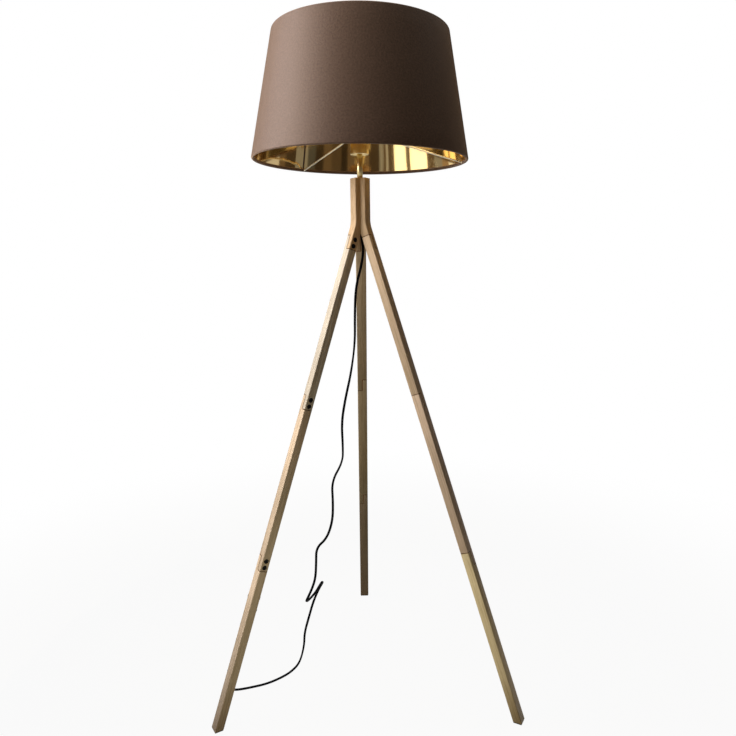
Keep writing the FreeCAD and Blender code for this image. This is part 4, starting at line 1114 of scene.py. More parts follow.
def add_blob(bm, place, size, along):
    """A weld: a ball stretched along the wire."""
    stretch = aimed_at(place, along) @ Matrix.Diagonal((size, size, size * BLOB_STRETCH, 1.0))
    bmesh.ops.create_uvsphere(
        bm, u_segments=BLOB_COLUMNS, v_segments=BLOB_ROWS, radius=1.0, matrix=stretch
    )


def joined(bm, other):
    """Adds one mesh to another."""
    spare = bpy.data.meshes.new("spare")
    other.to_mesh(spare)
    other.free()
    bm.from_mesh(spare)
    bpy.data.meshes.remove(spare)


print("ring wire", 2 * RING_WIRE, "mm thick, arms", 2 * ARM_WIRE, "mm")

# %% [markdown]
# The lower ring, the washer and the arms make one piece, because they are welded into one. The
# ring leans with the shade and the washer sits level on the holder, so each arm runs from a leaned
# point to a level one. The upper ring stands alone, held only by the cover.

# %% Rings, arms and carrier
RING_INSET = 2.95
RING_LOW, RING_HIGH = SHADE_LOW + RING_INSET, SHADE_HIGH - RING_INSET
CARRIER_IN, CARRIER_OUT, CARRIER_EDGE = 18.2, 26.0, 0.5
CARRIER_COLUMNS = 96
ARM_DIRECTIONS = (6.0, 126.0, 246.0)
ARM_OVERLAP = 1.0
# Each weld's distance from the end of the wire, and its size.
OUTER_WELD, INNER_WELD = (2.0, 2.2), (1.5, 2.1)

bm = wire_ring_mesh(RING_LOW)
bmesh.ops.transform(bm, matrix=LEAN, verts=bm.verts)
rounded = [
    (CARRIER_IN, CARRIER_LOW), (CARRIER_OUT - CARRIER_EDGE, CARRIER_LOW),
    (CARRIER_OUT, CARRIER_LOW + CARRIER_EDGE), (CARRIER_OUT, CARRIER_HIGH - CARRIER_EDGE),
    (CARRIER_OUT - CARRIER_EDGE, CARRIER_HIGH), (CARRIER_IN, CARRIER_HIGH),
]
joined(bm, turned(rounded, CARRIER_COLUMNS, closed=True))
for direction in ARM_DIRECTIONS:
    angle = math.radians(direction)
    aim = Vector((math.cos(angle), math.sin(angle), 0))
    outer = LEAN @ (aim * mm(set_in(RING_DEPTH, RING_LOW)[0]) + AXIS * mm(RING_LOW))
    inner = aim * mm(CARRIER_OUT - ARM_OVERLAP) + AXIS * mm((CARRIER_LOW + CARRIER_HIGH) / 2)
    run = (inner - outer).normalized()
    add_wire(bm, outer, inner, mm(ARM_WIRE))
    add_blob(bm, outer + run * mm(OUTER_WELD[0]), mm(OUTER_WELD[1]), run)
    add_blob(bm, inner - run * mm(INNER_WELD[0]), mm(INNER_WELD[1]), run)
shade_frame = piece_from("shade_frame", bm, "lamp")
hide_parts("shade_spider")

bm = wire_ring_mesh(RING_HIGH)
bmesh.ops.transform(bm, matrix=LEAN, verts=bm.verts)
top_wire = piece_from("top_wire", bm, "lamp")
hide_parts("shade_top_ring")
print("frame faces:", len(shade_frame.data.polygons), "and", len(top_wire.data.polygons))

# %% [markdown]
# The cover and the film are each cut from a flat strip, whose size is worked out and printed here.
# It could be measured on the mesh, but a cone unrolls into a simple curved strip, and its width,
# height and area follow from the shade's own sizes.

# %% The two sheets
TURN_IN = 13.0
SQUARE_MM = 1e6


def cone_strip(depth, turn_in):
    """Width, height and area, in metres, of the flat strip that rolls up into the shade's wall."""
    wide, narrow = SHADE_WIDE - depth, SHADE_NARROW - depth
    slope = math.hypot(wide - narrow, SHADE_HIGH - SHADE_LOW)
    reach = slope * wide / (wide - narrow)
    span = math.tau * wide / reach
    outer, inner = reach + turn_in, reach - slope - turn_in
    width = mm(2 * outer * math.sin(span / 2))
    height = mm(outer - inner * math.cos(span / 2))
    return width, height, span / 2 * (outer**2 - inner**2) / SQUARE_MM


for sheet, depth, turn_in in ((shade_cover, 0, TURN_IN), (gold_film, FILM_DEPTH, 0)):
    width, height, area = cone_strip(depth, turn_in)
    print(
        sheet.name, "cut from", round(width, 3), "x", round(height, 3), "m,", round(area, 3), "m2"
    )

# %% [markdown]
# ## Brass
#
# The stem is a thin brass sleeve over the threaded tube. The cup is drawn from sheet brass, with
# its lower rim rolled round a small radius. Both are round, so both are turned, and each profile
# goes right round the wall, inside and out, so that the metal has its real thickness.

# %% Stem and cup
HUB_TOP, CUP_LOW, CUP_HIGH = 1137.85, 1184.85, 1223.85
STEM_RADIUS, STEM_BORE, STEM_COLUMNS = 6.0, 5.15, 96
CUP_RADIUS, CUP_WALL, CUP_RIM, CUP_COLUMNS = 19.35, 0.9, 1.6, 128
CUP_FLOOR_LOW, CUP_FLOOR_HIGH = CUP_LOW + 2.5, CUP_LOW + 3.7
# Points of the rolled lip: in from the wall's inside, and up from the lower edge.
CUP_LIP = [(1.2, 2.5), (0.5, 2.2), (0.15, 0.5)]
RIM_FROM, RIM_TO, RIM_ARC_STEPS = -80, 0, 8
BROKEN_EDGE = 0.3


def stem_profile():
    """A sleeve from the hub to the cup's floor, with its outer edges broken."""
    low, high = HUB_TOP, CUP_FLOOR_LOW
    return [
        (STEM_BORE, low), (STEM_RADIUS - BROKEN_EDGE, low), (STEM_RADIUS, low + BROKEN_EDGE),
        (STEM_RADIUS, high - BROKEN_EDGE), (STEM_RADIUS - BROKEN_EDGE, high), (STEM_BORE, high),
    ]


def cup_profile():
    """From the hole in the floor, out to the rolled rim, up the wall and back down inside."""
    inner = CUP_RADIUS - CUP_WALL
    rim_middle = (CUP_RADIUS - CUP_RIM, CUP_LOW + CUP_RIM)
    points = [(STEM_BORE, CUP_FLOOR_LOW)]
    points += [(inner - depth, CUP_LOW + rise) for depth, rise in CUP_LIP]
    points += arc(rim_middle, CUP_RIM, RIM_FROM, RIM_TO, RIM_ARC_STEPS)
    points += [(CUP_RADIUS, CUP_HIGH - BROKEN_EDGE), (CUP_RADIUS - BROKEN_EDGE, CUP_HIGH)]
    points += [(inner, CUP_HIGH), (inner, CUP_FLOOR_HIGH), (STEM_BORE, CUP_FLOOR_HIGH)]
    return points


stem = piece_from("stem", turned(stem_profile(), STEM_COLUMNS, closed=True), "lamp")
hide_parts("stem_sleeve")
cup = piece_from("cup", turned(cup_profile(), CUP_COLUMNS, closed=True), "lamp")
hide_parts("holder_cup")
print("turned brass:", len(stem.data.polygons), "and", len(cup.data.polygons), "faces")

# %% [markdown]
# ## Moulded pieces
#
# The switch, the rocker and the plug are moulded in plastic. Such pieces are blocks whose edges
# are rounded, because a sharp mould edge would chip and a sharp corner would hurt. They could be
# carved by a subdivision surface, which makes everything soft alike. A box with bevelled edges
# keeps its flat sides, and lets each edge have its own round, so each piece starts as a box.


# %% Boxes and rounds
BEVEL_PROFILE, NO_MATERIAL = 0.5, -1
UPRIGHT_SHARE, LEVEL_REACH, RIM_ANGLE = 0.9, 1e-6, 0.5


def box(low, high):
    """A box between two corners given in millimetres."""
    low, high = mm(*low), mm(*high)
    bm = bmesh.new()
    place = Matrix.Translation((low + high) / 2) @ Matrix.Diagonal((*(high - low), 1.0))
    bmesh.ops.create_cube(bm, size=1.0, matrix=place)
    return bm


def cut(bm, place, normal):
    """Cuts the mesh right through along a plane, and keeps both sides."""
    everything = bm.verts[:] + bm.edges[:] + bm.faces[:]
    bmesh.ops.bisect_plane(bm, geom=everything, plane_co=mm(*place), plane_no=normal)


def round_edges(bm, pick, radius, segments):
    """Rounds the edges that a test picks."""
    edges = [edge for edge in bm.edges if pick(edge)]
    bmesh.ops.bevel(
        bm, geom=edges, offset=mm(radius), segments=segments, profile=BEVEL_PROFILE,
        affect="EDGES", material=NO_MATERIAL, clamp_overlap=True,
    )


def is_upright(edge):
    """Whether an edge stands up."""
    a, b = edge.verts
    return abs(a.co.z - b.co.z) > UPRIGHT_SHARE * (a.co - b.co).length


def at_height(z):
    """A test for the edges of the rim at a height in millimetres."""
    def test(edge):
        level = all(abs(v.co.z - mm(z)) < LEVEL_REACH for v in edge.verts)
        return level and len(edge.link_faces) == 2 and edge.calc_face_angle(0) > RIM_ANGLE
    return test


trial = box((0, 0, 0), (1, 1, 1))
print("upright edges of a box:", sum(is_upright(edge) for edge in trial.edges))
trial.free()

# %% [markdown]
# ## The switch on the flex
#
# The switch is two moulded halves, screwed together round the flex, with a rocker in a window.
# The upright edges of each half get a large round and its outer face a smaller one. Where the two
# halves meet, each has a tiny bevel, and the two bevels make the fine groove of a parting line.
#
# The window could be cut with a boolean, which leaves long thin triangles. Four straight cuts
# and one extrusion downwards make it cleanly.

# %% Switch halves
SWITCH_PLACE = (-318.5, 93.0)
SWITCH_SIZE = (25.0, 66.0, 16.0)
SWITCH_SPLIT = 8.0
# Each round's radius in millimetres, and its number of steps.
CORNER_ROUND, FACE_ROUND, PARTING_BEVEL = (6.0, 8), (2.4, 5), (0.25, 1)
# The window's width, length and depth.
WINDOW = (9.8, 19.6, 4.2)
TOP_SLACK = 0.1


def switch_half_mesh(low, high, outside, inside):
    """One half: outside is the height of its rounded face, inside that of its parting line."""
    x, y = SWITCH_PLACE
    half_x, half_y = SWITCH_SIZE[0] / 2, SWITCH_SIZE[1] / 2
    bm = box((x - half_x, y - half_y, low), (x + half_x, y + half_y, high))
    round_edges(bm, is_upright, *CORNER_ROUND)
    round_edges(bm, at_height(outside), *FACE_ROUND)
    round_edges(bm, at_height(inside), *PARTING_BEVEL)
    return bm


bm = switch_half_mesh(0, SWITCH_SPLIT, 0, SWITCH_SPLIT)
switch_low = piece_from("switch_low", bm, "lamp")
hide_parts("switch_base")

bm = switch_half_mesh(SWITCH_SPLIT, SWITCH_SIZE[2], SWITCH_SIZE[2], SWITCH_SPLIT)
window_low = (SWITCH_PLACE[0] - WINDOW[0] / 2, SWITCH_PLACE[1] - WINDOW[1] / 2)
window_high = (SWITCH_PLACE[0] + WINDOW[0] / 2, SWITCH_PLACE[1] + WINDOW[1] / 2)
for place in (window_low[0], window_high[0]):
    cut(bm, (place, 0, 0), (1, 0, 0))
for place in (window_low[1], window_high[1]):
    cut(bm, (0, place, 0), (0, 1, 0))
top_faces = []
for face in bm.faces:
    middle = face.calc_center_median() * 1000
    inside_x = window_low[0] < middle.x < window_high[0]
    inside_y = window_low[1] < middle.y < window_high[1]
    if inside_x and inside_y and middle.z > SWITCH_SIZE[2] - TOP_SLACK:
        top_faces.append(face)
sunk = bmesh.ops.extrude_face_region(bm, geom=top_faces)["geom"]
sunk_verts = [g for g in sunk if isinstance(g, bmesh.types.BMVert)]
bmesh.ops.translate(bm, verts=sunk_verts, vec=(0, 0, -mm(WINDOW[2])))
bmesh.ops.delete(bm, geom=top_faces, context="FACES")
bmesh.ops.recalc_face_normals(bm, faces=bm.faces)
switch_high = piece_from("switch_high", bm, "lamp")
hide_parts("switch_cover")
print("switch faces:", len(switch_low.data.polygons), "and", len(switch_high.data.polygons))

# %% [markdown]
# The rocker is hollowed along its length, so that a toe finds the end that stands up. It could be
# modelled in its tipped place, but it is easier level: a box is cut across into slices, their tops
# are let down along a shallow curve, the corners are eased, and the whole is then tipped about its
# pin to where the frame has it. It rides on its own body, so it moves when the switch does.

# %% Rocker
ROCKER_SIZE = (9.0, 18.0)
ROCKER_LOW, ROCKER_END_HIGH, ROCKER_MIDDLE_HIGH = -2.5, 2.7, 1.5
ROCKER_SLICES, ROCKER_TILT = 12, -7.0
ROCKER_ROUND, ROCKER_EDGE_ANGLE = (0.7, 3), 1.0
PIVOT = (-318.5, 93.0, 13.2)

bm = box(
    (PIVOT[0] - ROCKER_SIZE[0] / 2, PIVOT[1] - ROCKER_SIZE[1] / 2, PIVOT[2] + ROCKER_LOW),
    (PIVOT[0] + ROCKER_SIZE[0] / 2, PIVOT[1] + ROCKER_SIZE[1] / 2, PIVOT[2] + ROCKER_END_HIGH),
)
for step in range(1, ROCKER_SLICES):
    cut(bm, (0, PIVOT[1] + ROCKER_SIZE[1] * (step / ROCKER_SLICES - 0.5), 0), (0, 1, 0))
for vert in bm.verts:
    if vert.co.z > mm(PIVOT[2]):
        share = (vert.co.y * 1000 - PIVOT[1]) / (ROCKER_SIZE[1] / 2)
        hollow = (ROCKER_END_HIGH - ROCKER_MIDDLE_HIGH) * (1 - share * share)
        vert.co.z -= mm(hollow)
round_edges(bm, lambda edge: edge.calc_face_angle(0) > ROCKER_EDGE_ANGLE, *ROCKER_ROUND)
tip = Matrix.Translation(mm(*PIVOT)) @ Matrix.Rotation(math.radians(ROCKER_TILT), 4, "X")
tip = tip @ Matrix.Translation(-mm(*PIVOT))
bmesh.ops.transform(bm, matrix=tip, verts=bm.verts)
rocker = piece_from("rocker_button", bm, "rocker")
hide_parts("switch_rocker")
print("rocker faces:", len(rocker.data.polygons))

# %% [markdown]
# ## Plug, boot and tie
#
# The plug is the flat two-pin kind: a block that narrows towards the flex, with slim round pins.
# The narrow end could be a second block, but a real plug is one moulding. So one box is cut across
# at the shoulder, its rear end is drawn in, and then its edges are rounded.

# %% Plug
PLUG_WIDE, PLUG_REAR, PLUG_TALL = 35.3, 15.0, 13.7
PLUG_REAR_TALL = 10.6
PLUG_START, PLUG_SHOULDER, PLUG_END = 330.0, 345.3, 364.0
PLUG_MIDDLE_Z = 6.85
PLUG_CORNER, PLUG_ROUND, PLUG_EDGE_ANGLE = (3.0, 6), (1.8, 5), 0.6
PLUG_REAR_END = mm(PLUG_START + 1)

bm = box(
    (HANK_X - PLUG_WIDE / 2, PLUG_START, 0), (HANK_X + PLUG_WIDE / 2, PLUG_END, PLUG_TALL)
)
cut(bm, (0, PLUG_SHOULDER, 0), (0, 1, 0))
for vert in bm.verts:
    if vert.co.y < PLUG_REAR_END:
        beside, above = vert.co.x - mm(HANK_X), vert.co.z - mm(PLUG_MIDDLE_Z)
        vert.co.x = mm(HANK_X) + beside * PLUG_REAR / PLUG_WIDE
        vert.co.z = mm(PLUG_MIDDLE_Z) + above * PLUG_REAR_TALL / PLUG_TALL
round_edges(
    bm, lambda edge: is_upright(edge) and edge.verts[0].co.y > PLUG_REAR_END, *PLUG_CORNER
)
round_edges(bm, lambda edge: edge.calc_face_angle(0) > PLUG_EDGE_ANGLE, *PLUG_ROUND)
plug_shell = piece_from("plug_shell", bm, "lamp")
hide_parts("plug_body")
print("plug faces:", len(plug_shell.data.polygons))

# %% [markdown]
# Behind the plug a ribbed boot tapers down onto the flex and lets it bend gently. Its ribs could
# be separate rings on a cone. One turned profile with all the ribs in it gives one closed skin,
# as the mould does. It is turned about the upright axis and then laid down along the flex.

# %% Boot
BOOT_START, BOOT_END = 306.0, 330.0
BOOT_THIN, BOOT_THICK = 3.6, 5.0
BOOT_RIBS, BOOT_COLUMNS = 5, 48
RIB_EDGE, RIB_GAP, RIB_FALL, RIB_WAIST = 0.5, 1.9, 0.4, 3.3
GAP_START, GAP_END = 1.3, 0.2


def boot_profile():
    """Ribs that grow from the flex to the plug, with rounded crests and narrow waists."""
    points = [(0.0, BOOT_START)]
    pitch = (BOOT_END - BOOT_START) / BOOT_RIBS
    for rib in range(BOOT_RIBS):
        low = BOOT_START + rib * pitch
        high = low + pitch
        crest = BOOT_THIN + (BOOT_THICK - BOOT_THIN) * (rib + 1) / BOOT_RIBS
        points += [(crest - RIB_EDGE, low), (crest, low + RIB_EDGE), (crest, high - RIB_GAP)]
        points += [(crest - RIB_FALL, high - RIB_GAP + RIB_FALL)]
        if rib < BOOT_RIBS - 1:
            points += [(RIB_WAIST, high - GAP_START), (RIB_WAIST, high - GAP_END)]
    return points + [(0.0, BOOT_END - RIB_GAP + RIB_FALL)]


bm = turned(boot_profile(), BOOT_COLUMNS)
along_y = Matrix.Rotation(math.radians(-90), 4, "X")
laid_down = Matrix.Translation(mm(HANK_X, 0, PLUG_MIDDLE_Z)) @ along_y
bmesh.ops.transform(bm, matrix=laid_down, verts=bm.verts)
bmesh.ops.recalc_face_normals(bm, faces=bm.faces)
boot = piece_from("boot", bm, "lamp")
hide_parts("plug_boot")
print("boot faces:", len(boot.data.polygons), "with", BOOT_RIBS, "ribs")

# %% [markdown]
# The tie is a strip of hook-and-loop tape, drawn tight round the three runs of flex. A cloth band
# could be simulated round them. A drawn outline is enough: six points with rounded corners, pulled
# out to the width of the tape, and then given the tape's thickness.

# %% Tie
TIE_FROM, TIE_TO = 248.0, 260.0
TIE_TAPE = 1.0
TIE_BOTTOM, TIE_SHOULDER, TIE_TOP = 1.0, 4.6, 7.8
TIE_WIDE, TIE_NARROW = 6.8, 3.0
TIE_ROUND, TIE_ROUND_STEPS = 1.3, 4
TIE_INSIDE = mm(HANK_X, (TIE_FROM + TIE_TO) / 2, 4)

outline = [
    (TIE_NARROW, TIE_TOP), (-TIE_NARROW, TIE_TOP), (-TIE_WIDE, TIE_SHOULDER),
    (-TIE_WIDE, TIE_BOTTOM), (TIE_WIDE, TIE_BOTTOM), (TIE_WIDE, TIE_SHOULDER),
]
bm = bmesh.new()
band = [bm.verts.new(mm(HANK_X + x, TIE_FROM, z)) for x, z in outline]
edges = [bm.edges.new(pair) for pair in zip(band, band[1:] + band[:1])]
bmesh.ops.bevel(
    bm, geom=band, offset=mm(TIE_ROUND), segments=TIE_ROUND_STEPS, profile=BEVEL_PROFILE,
    affect="VERTICES", material=NO_MATERIAL,
)
made = bmesh.ops.extrude_edge_only(bm, edges=bm.edges[:])["geom"]
far_verts = [g for g in made if isinstance(g, bmesh.types.BMVert)]
bmesh.ops.translate(bm, verts=far_verts, vec=(0, mm(TIE_TO - TIE_FROM), 0))
bmesh.ops.recalc_face_normals(bm, faces=bm.faces)
first_face = bm.faces[:][0]
if first_face.normal.dot(first_face.calc_center_median() - TIE_INSIDE) < 0:
    bmesh.ops.reverse_faces(bm, faces=bm.faces)
tie = piece_from("tie_band", bm, "lamp")
thicken(tie, mm(TIE_TAPE), 1)
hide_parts("cord_tie")
print("tie:", TIE_TO - TIE_FROM, "mm wide")

# %% [markdown]
# ## Satin
#
# The cover is a brown polyester satin, woven from bright filament yarn and dyed. A picture of
# cloth could be laid on it, but would repeat round the drum. Here the weave is drawn from noise on
# the cloth's own map: fine upright warp yarns, shorter weft yarns across them, a few thicker
# slubs, and an uneven mottle where the dye took more or less. The four differ only in the size and
# shape of their cells, so one short loop makes them.
#
# The real yarns lie a third of a millimetre apart, which is too fine to show. They are drawn
# rather more than twice as coarse, at 0.8 mm.

# %% Yarns and mottle
# Each pattern's cell round and up the shade in millimetres, its detail and its roughness.
WEAVE = {
    "warp": (0.8, 13.333, 2.0, 0.5), "weft": (8.0, 1.1429, 2.0, 0.5),
    "slubs": (9.333, 2.3333, 3.0, 0.6), "mottle": (3.846, 3.846, 3.0, 0.65),
}

satin, tree = new_material("woven_brown_satin")
cloth = add_node(tree, "ShaderNodeUVMap", {"uv_map": "cloth"}).outputs[0]
weave = {}
for kind, (wide, high, detail, roughness) in WEAVE.items():
    cells = add_node(
        tree, "ShaderNodeMapping", Vector=cloth, Scale=(*per_metre(wide, high), 1.0)
    )
    weave[kind] = add_node(
        tree, "ShaderNodeTexNoise", Vector=cells.outputs[0], Scale=1.0, Detail=detail,
        Roughness=roughness,
    ).outputs["Fac"]
yarns = add_node(tree, "ShaderNodeMix", _0=0.5, _2=weave["warp"], _3=weave["weft"]).outputs[0]
print("yarns drawn", WEAVE["warp"][0], "mm apart, slubs", WEAVE["slubs"][0], "mm")

# %% [markdown]
# Satin is dark where the light doesn't glance off it, and where it does, the yarns send back a
# wide, warm gloss. A velvet or a plain matt cloth would be a base colour and little else. Here
# three things add up: the dyed yarns, a shade darker or lighter from place to place; the broad
# gloss of the yarns, tinted by the dye that it passes through; and a pale sheen, the bloom of
# fibre ends that stand up from the cloth. The yarns and the mottle also lift the surface, which
# gives the gloss its fine, uneven grain.

# %% Woven satin
# Each pattern with its low and high, and the tone that it gives there.
SHADING = (
    (yarns, 0.35, 0.65, 0.90, 1.10), (weave["slubs"], 0.35, 0.70, 0.95, 1.06),
    (weave["mottle"], 0.35, 0.65, 0.70, 1.30),
)
MOTTLE_RELIEF = 3.0

tone = 1.0
for pattern, low, high, darkest, palest in SHADING:
    share = add_node(
        tree, "ShaderNodeMapRange", Value=pattern, From_Min=low, From_Max=high,
        To_Min=darkest, To_Max=palest,
    )
    tone = add_node(
        tree, "ShaderNodeMath", {"operation": "MULTIPLY"}, _0=tone, _1=share.outputs[0]
    ).outputs[0]
dyed = add_node(
    tree, "ShaderNodeVectorMath", {"operation": "SCALE"}, _0=linear("#503b2e")[:3], Scale=tone
).outputs[0]
relief = add_node(
    tree, "ShaderNodeMath", {"operation": "MULTIPLY_ADD"},
    _0=weave["mottle"], _1=MOTTLE_RELIEF, _2=yarns,
).outputs[0]
bump = add_node(tree, "ShaderNodeBump", Strength=0.8, Distance=mm(0.18), Height=relief)
cover_cloth = add_node(
    tree, "ShaderNodeBsdfPrincipled", Base_Color=dyed, Roughness=0.56, IOR=1.46,
    Specular_Tint=linear("#ffdfbe"), Sheen_Weight=0.61, Sheen_Roughness=0.45,
    Sheen_Tint=linear("#f1c8a2"), Normal=bump.outputs[0],
)
add_node(tree, "ShaderNodeOutputMaterial", Surface=cover_cloth.outputs[0])
shade_cover.data.materials.append(satin)
print("cloth finished:", satin.name)

# %% [markdown]
# ## Gold film
#
# The lining is a clear polyester film, metallised with aluminium in a vacuum and lacquered yellow,
# so to the eye it is gold. The film itself is glassy smooth, which a low roughness gives. Where it
# was pressed onto the card behind the cloth, fine upright ripples stayed in it. They are too
# shallow to model, so they are a bump, four millimetres wide and a hand's breadth tall.
#
# At the seam a dark matt stripe a few millimetres wide is painted on the film: painted shadow
# along its lapped edge. A separate strip could be modelled for it, but the film's own map already
# tells how far a point is past the seam, so the stripe is a second shader there.

# %% Metallised film
RIPPLE_WIDTH, RIPPLE_LENGTH = 4.1667, 111.11
SEAM_SHADOW_WIDTH = 3.4

film, tree = new_material("metallised_gold_film")
strip = add_node(tree, "ShaderNodeUVMap", {"uv_map": "cloth"}).outputs[0]
ripple_cells = add_node(
    tree, "ShaderNodeMapping", Vector=strip, Scale=(*per_metre(RIPPLE_WIDTH, RIPPLE_LENGTH), 1.0)
)
ripple = add_node(
    tree, "ShaderNodeTexNoise", Vector=ripple_cells.outputs[0], Scale=1.0, Detail=2.0
).outputs["Fac"]
film_bump = add_node(tree, "ShaderNodeBump", Strength=0.5, Distance=mm(0.05), Height=ripple)
mirror = add_node(
    tree, "ShaderNodeBsdfPrincipled", Base_Color=linear("#efd092"), Metallic=1.0, Roughness=0.085,
    Normal=film_bump.outputs[0],
)
# Painted shadow: a dark matt shader along the film's seam stands in for the shadow of the lapped
# edge.
painted_seam_shadow = add_node(
    tree, "ShaderNodeBsdfPrincipled", Base_Color=linear("#3a2a20"), Roughness=0.7
)
past_the_seam = add_node(tree, "ShaderNodeSeparateXYZ", Vector=strip).outputs[0]
at_seam = add_node(
    tree, "ShaderNodeMath", {"operation": "LESS_THAN"}, _0=past_the_seam, _1=mm(SEAM_SHADOW_WIDTH)
).outputs[0]
lined = add_node(
    tree, "ShaderNodeMixShader", _0=at_seam, _1=mirror.outputs[0], _2=painted_seam_shadow.outputs[0]
)
add_node(tree, "ShaderNodeOutputMaterial", Surface=lined.outputs[0])
gold_film.data.materials.append(film)
print("film ripples:", RIPPLE_WIDTH, "mm wide")

# %% [markdown]
# ## Finishes of one colour
#
# Most of the small pieces have one colour all over. What tells them apart is how they were made: a
# polished mould leaves a clear gloss, an etched one a fine grain, and plating the brightness of
# metal. So one function makes them all, from a colour, a roughness, an IOR, a share of metal and,
# for an etched or woven surface, a grain with its size. The numbers sit on the shader itself,
# where they are easy to find and to export.

# %% One function for plain finishes
GRAIN_LIFT = mm(0.08)


def plain(name, colour, roughness, ior=1.5, metal=0.0, grain=0.0, grain_size=0.3):
    """A finish of one colour, with an optional fine grain in millimetres."""
    material, tree = new_material(name)
    finish = add_node(
        tree, "ShaderNodeBsdfPrincipled", Base_Color=linear(colour), Roughness=roughness, IOR=ior,
        Metallic=metal,
    )
    if grain:
        place = add_node(tree, "ShaderNodeTexCoord").outputs["Object"]
        speck = add_node(
            tree, "ShaderNodeTexNoise", Vector=place, Scale=1 / mm(grain_size), Detail=2.0
        ).outputs["Fac"]
        bumps = add_node(tree, "ShaderNodeBump", Strength=grain, Distance=GRAIN_LIFT, Height=speck)
        tree.links.new(bumps.outputs[0], finish.inputs["Normal"])
    add_node(tree, "ShaderNodeOutputMaterial", Surface=finish.outputs[0])
    return material


# Steel wire, dipped in a thin cream enamel. The enamel is so thin and the gold round it so bright
# that the wire looks half painted and half metal, so the finish is a blend of the two.
cream_enamel = plain("cream_enamelled_wire", "#fff3d4", 0.36, metal=0.6)
shade_frame.data.materials.append(cream_enamel)
top_wire.data.materials.append(cream_enamel)
print("wire finished:", cream_enamel.name)

# %% [markdown]
# ## Brushed brass
#
# The stem and the cup are brass, brushed while they turn on a lathe, and left without lacquer. The
# scratches run level, right round, and pull each highlight out along the piece's height. The
# shader's anisotropy could do that, but it needs a direction all over the surface and is lost in
# some exports. A bump of long level scratches gives the same stretched highlight. The scratches
# of real brushing are under 0.1 mm wide, and are drawn at about 0.4 mm, coarse enough to show.

# %% Brushed brass
BRUSH_LENGTH, BRUSH_WIDTH = 33.333, 0.38462

brass, tree = new_material("brushed_brass")
place = add_node(tree, "ShaderNodeTexCoord").outputs["Object"]
scratch_cells = add_node(
    tree, "ShaderNodeMapping", Vector=place,
    Scale=per_metre(BRUSH_LENGTH, BRUSH_LENGTH, BRUSH_WIDTH),
)
scratches = add_node(
    tree, "ShaderNodeTexNoise", Vector=scratch_cells.outputs[0], Scale=1.0, Detail=3.0
).outputs["Fac"]
brush_bump = add_node(tree, "ShaderNodeBump", Strength=0.25, Distance=mm(0.03), Height=scratches)
brushed = add_node(
    tree, "ShaderNodeBsdfPrincipled", Base_Color=linear("#dac48e"), Metallic=1.0, Roughness=0.28,
    Normal=brush_bump.outputs[0],
)
add_node(tree, "ShaderNodeOutputMaterial", Surface=brushed.outputs[0])
stem.data.materials.append(brass)
cup.data.materials.append(brass)
print("brushed pieces:", stem.name, "and", cup.name)

# %% [markdown]
# ## Black plastics and tape
#
# Four blacks lie beside each other on the floor, and they must not look the same. They are told
# apart by gloss, not by colour: soft on the flex, satin on the mouldings, bright on the rocker and
# none on the tape. One black for all would be simpler, and would make the switch look painted.

# %% Black plastics
# Soft PVC, extruded round the two cores. It is smooth, but handling has dulled it. Its IOR is set
# well below the usual 1.5, because so thin a cord would mirror the white floor along its whole
# length and look grey.
flex_pvc = plain("extruded_black_pvc", "#08090b", 0.55, ior=1.12, grain=0.15)
# ABS, moulded in a lightly etched mould: a fine grain, and a satin gloss.
moulded = plain("moulded_black_abs", "#1b1b1d", 0.45, grain=0.2)
# Polycarbonate from a polished mould: a clear gloss, so that the rocker stands out by its shine.
gloss_black = plain("polished_black_rocker", "#141415", 0.25)
# Woven nylon tape with a looped pile, which swallows the light.
loop_tape = plain("woven_loop_tape", "#19191a", 0.9, grain=0.9, grain_size=0.5)
for piece in (flex_drop, flex_tail):
    piece.data.materials.append(flex_pvc)
for piece in (switch_low, switch_high, plug_shell, boot):
    piece.data.materials.append(moulded)
rocker.data.materials.append(gloss_black)
tie.data.materials.append(loop_tape)
print("black finishes:", [m.name for m in (flex_pvc, moulded, gloss_black, loop_tape)])

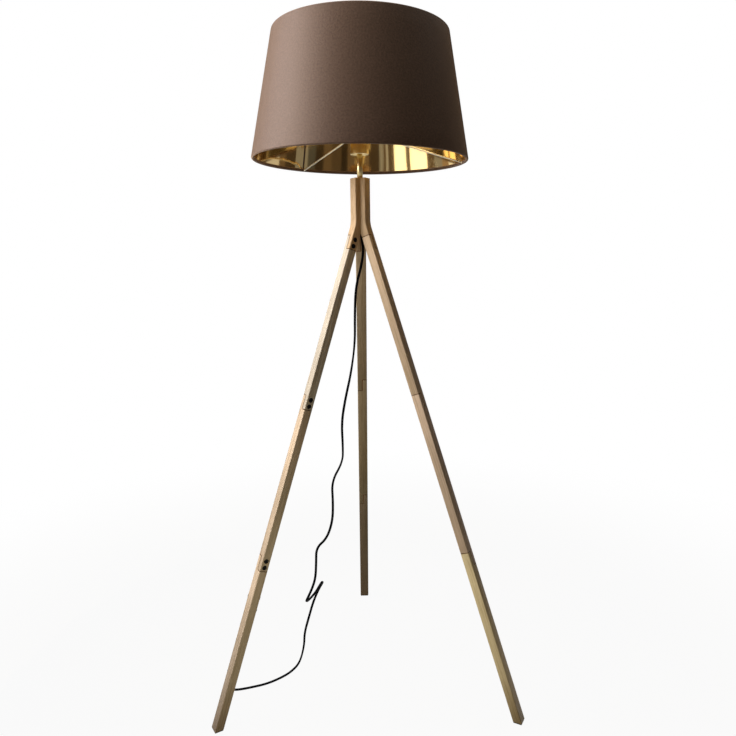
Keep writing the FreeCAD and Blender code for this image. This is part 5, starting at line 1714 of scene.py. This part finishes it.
# %% [markdown]
# ## The remaining pieces
#
# The last pieces are the CAD's own fittings. Most of them hide in the hub, in the cup or under the
# feet, and are seen only when the lamp is taken apart. They could be left grey, but then an opened
# lamp would look unfinished. Each gets the plain finish of what it is made from. The bolts, the
# shade nut and the skirt, which do show, also get a small round on their edges.

# %% Fittings
# Steel, blackened in a hot bath and oiled: nearly black, with the soft shine of metal.
blackened = plain("blackened_steel", "#12100e", 0.50, metal=0.9)
# Steel, zinc plated in a barrel: a cool pale grey, half bright.
zinc = plain("zinc_plated_steel", "#b9bcc0", 0.35, metal=1.0)
# Brass pins, nickel plated: a warmer white, and brighter than zinc.
nickel = plain("nickel_plated_brass", "#c9c3b6", 0.22, metal=1.0)
# Brass as it leaves the machine, or pressed from sheet: yellow and half bright.
raw_brass = plain("machined_brass", "#d8b26a", 0.35, metal=1.0)
# Phenolic resin, pressed hot: a brownish black with an even gloss.
phenolic = plain("pressed_phenolic", "#1c1a19", 0.4)
# Steatite, fired without a glaze: an off-white stone with hardly any gloss.
steatite = plain("fired_steatite", "#ded8c8", 0.6)
# Rubber, moulded and cured: dark and matt.
foot_rubber = plain("moulded_rubber", "#26231f", 0.8)
# PVC again, round each single core inside the lamp: thinner and a little shinier.
core_sheath = plain("extruded_core_pvc", "#2a2c30", 0.5)
FINISHES = {
    blackened: ["bolts_left", "bolts_right", "bolts_back"],
    foot_rubber: ["foot_pad_left", "foot_pad_right", "foot_pad_back"],
    raw_brass: [
        "inserts_left", "inserts_right", "inserts_back", "switch_contacts", "centre_contact",
        "screw_shell",
    ],
    zinc: [
        "threaded_tube", "hub_washer", "hub_nut", "holder_nut", "terminal_screws",
        "switch_screws",
    ],
    phenolic: ["holder_body", "holder_skirt", "shade_nut", "cord_grip"],
    steatite: ["contact_block"],
    core_sheath: ["cord_inner", "holder_wires", "switch_core"],
    nickel: ["plug_pins"],
}
EASED_PIECES, EASED_EDGE = ("bolts", "shade_nut", "holder_skirt"), 0.2
for finish, names in FINISHES.items():
    for name in names:
        finish_node(name, finish, EASED_EDGE if name.startswith(EASED_PIECES) else 0.0)
print("fittings finished:", sum(len(names) for names in FINISHES.values()))
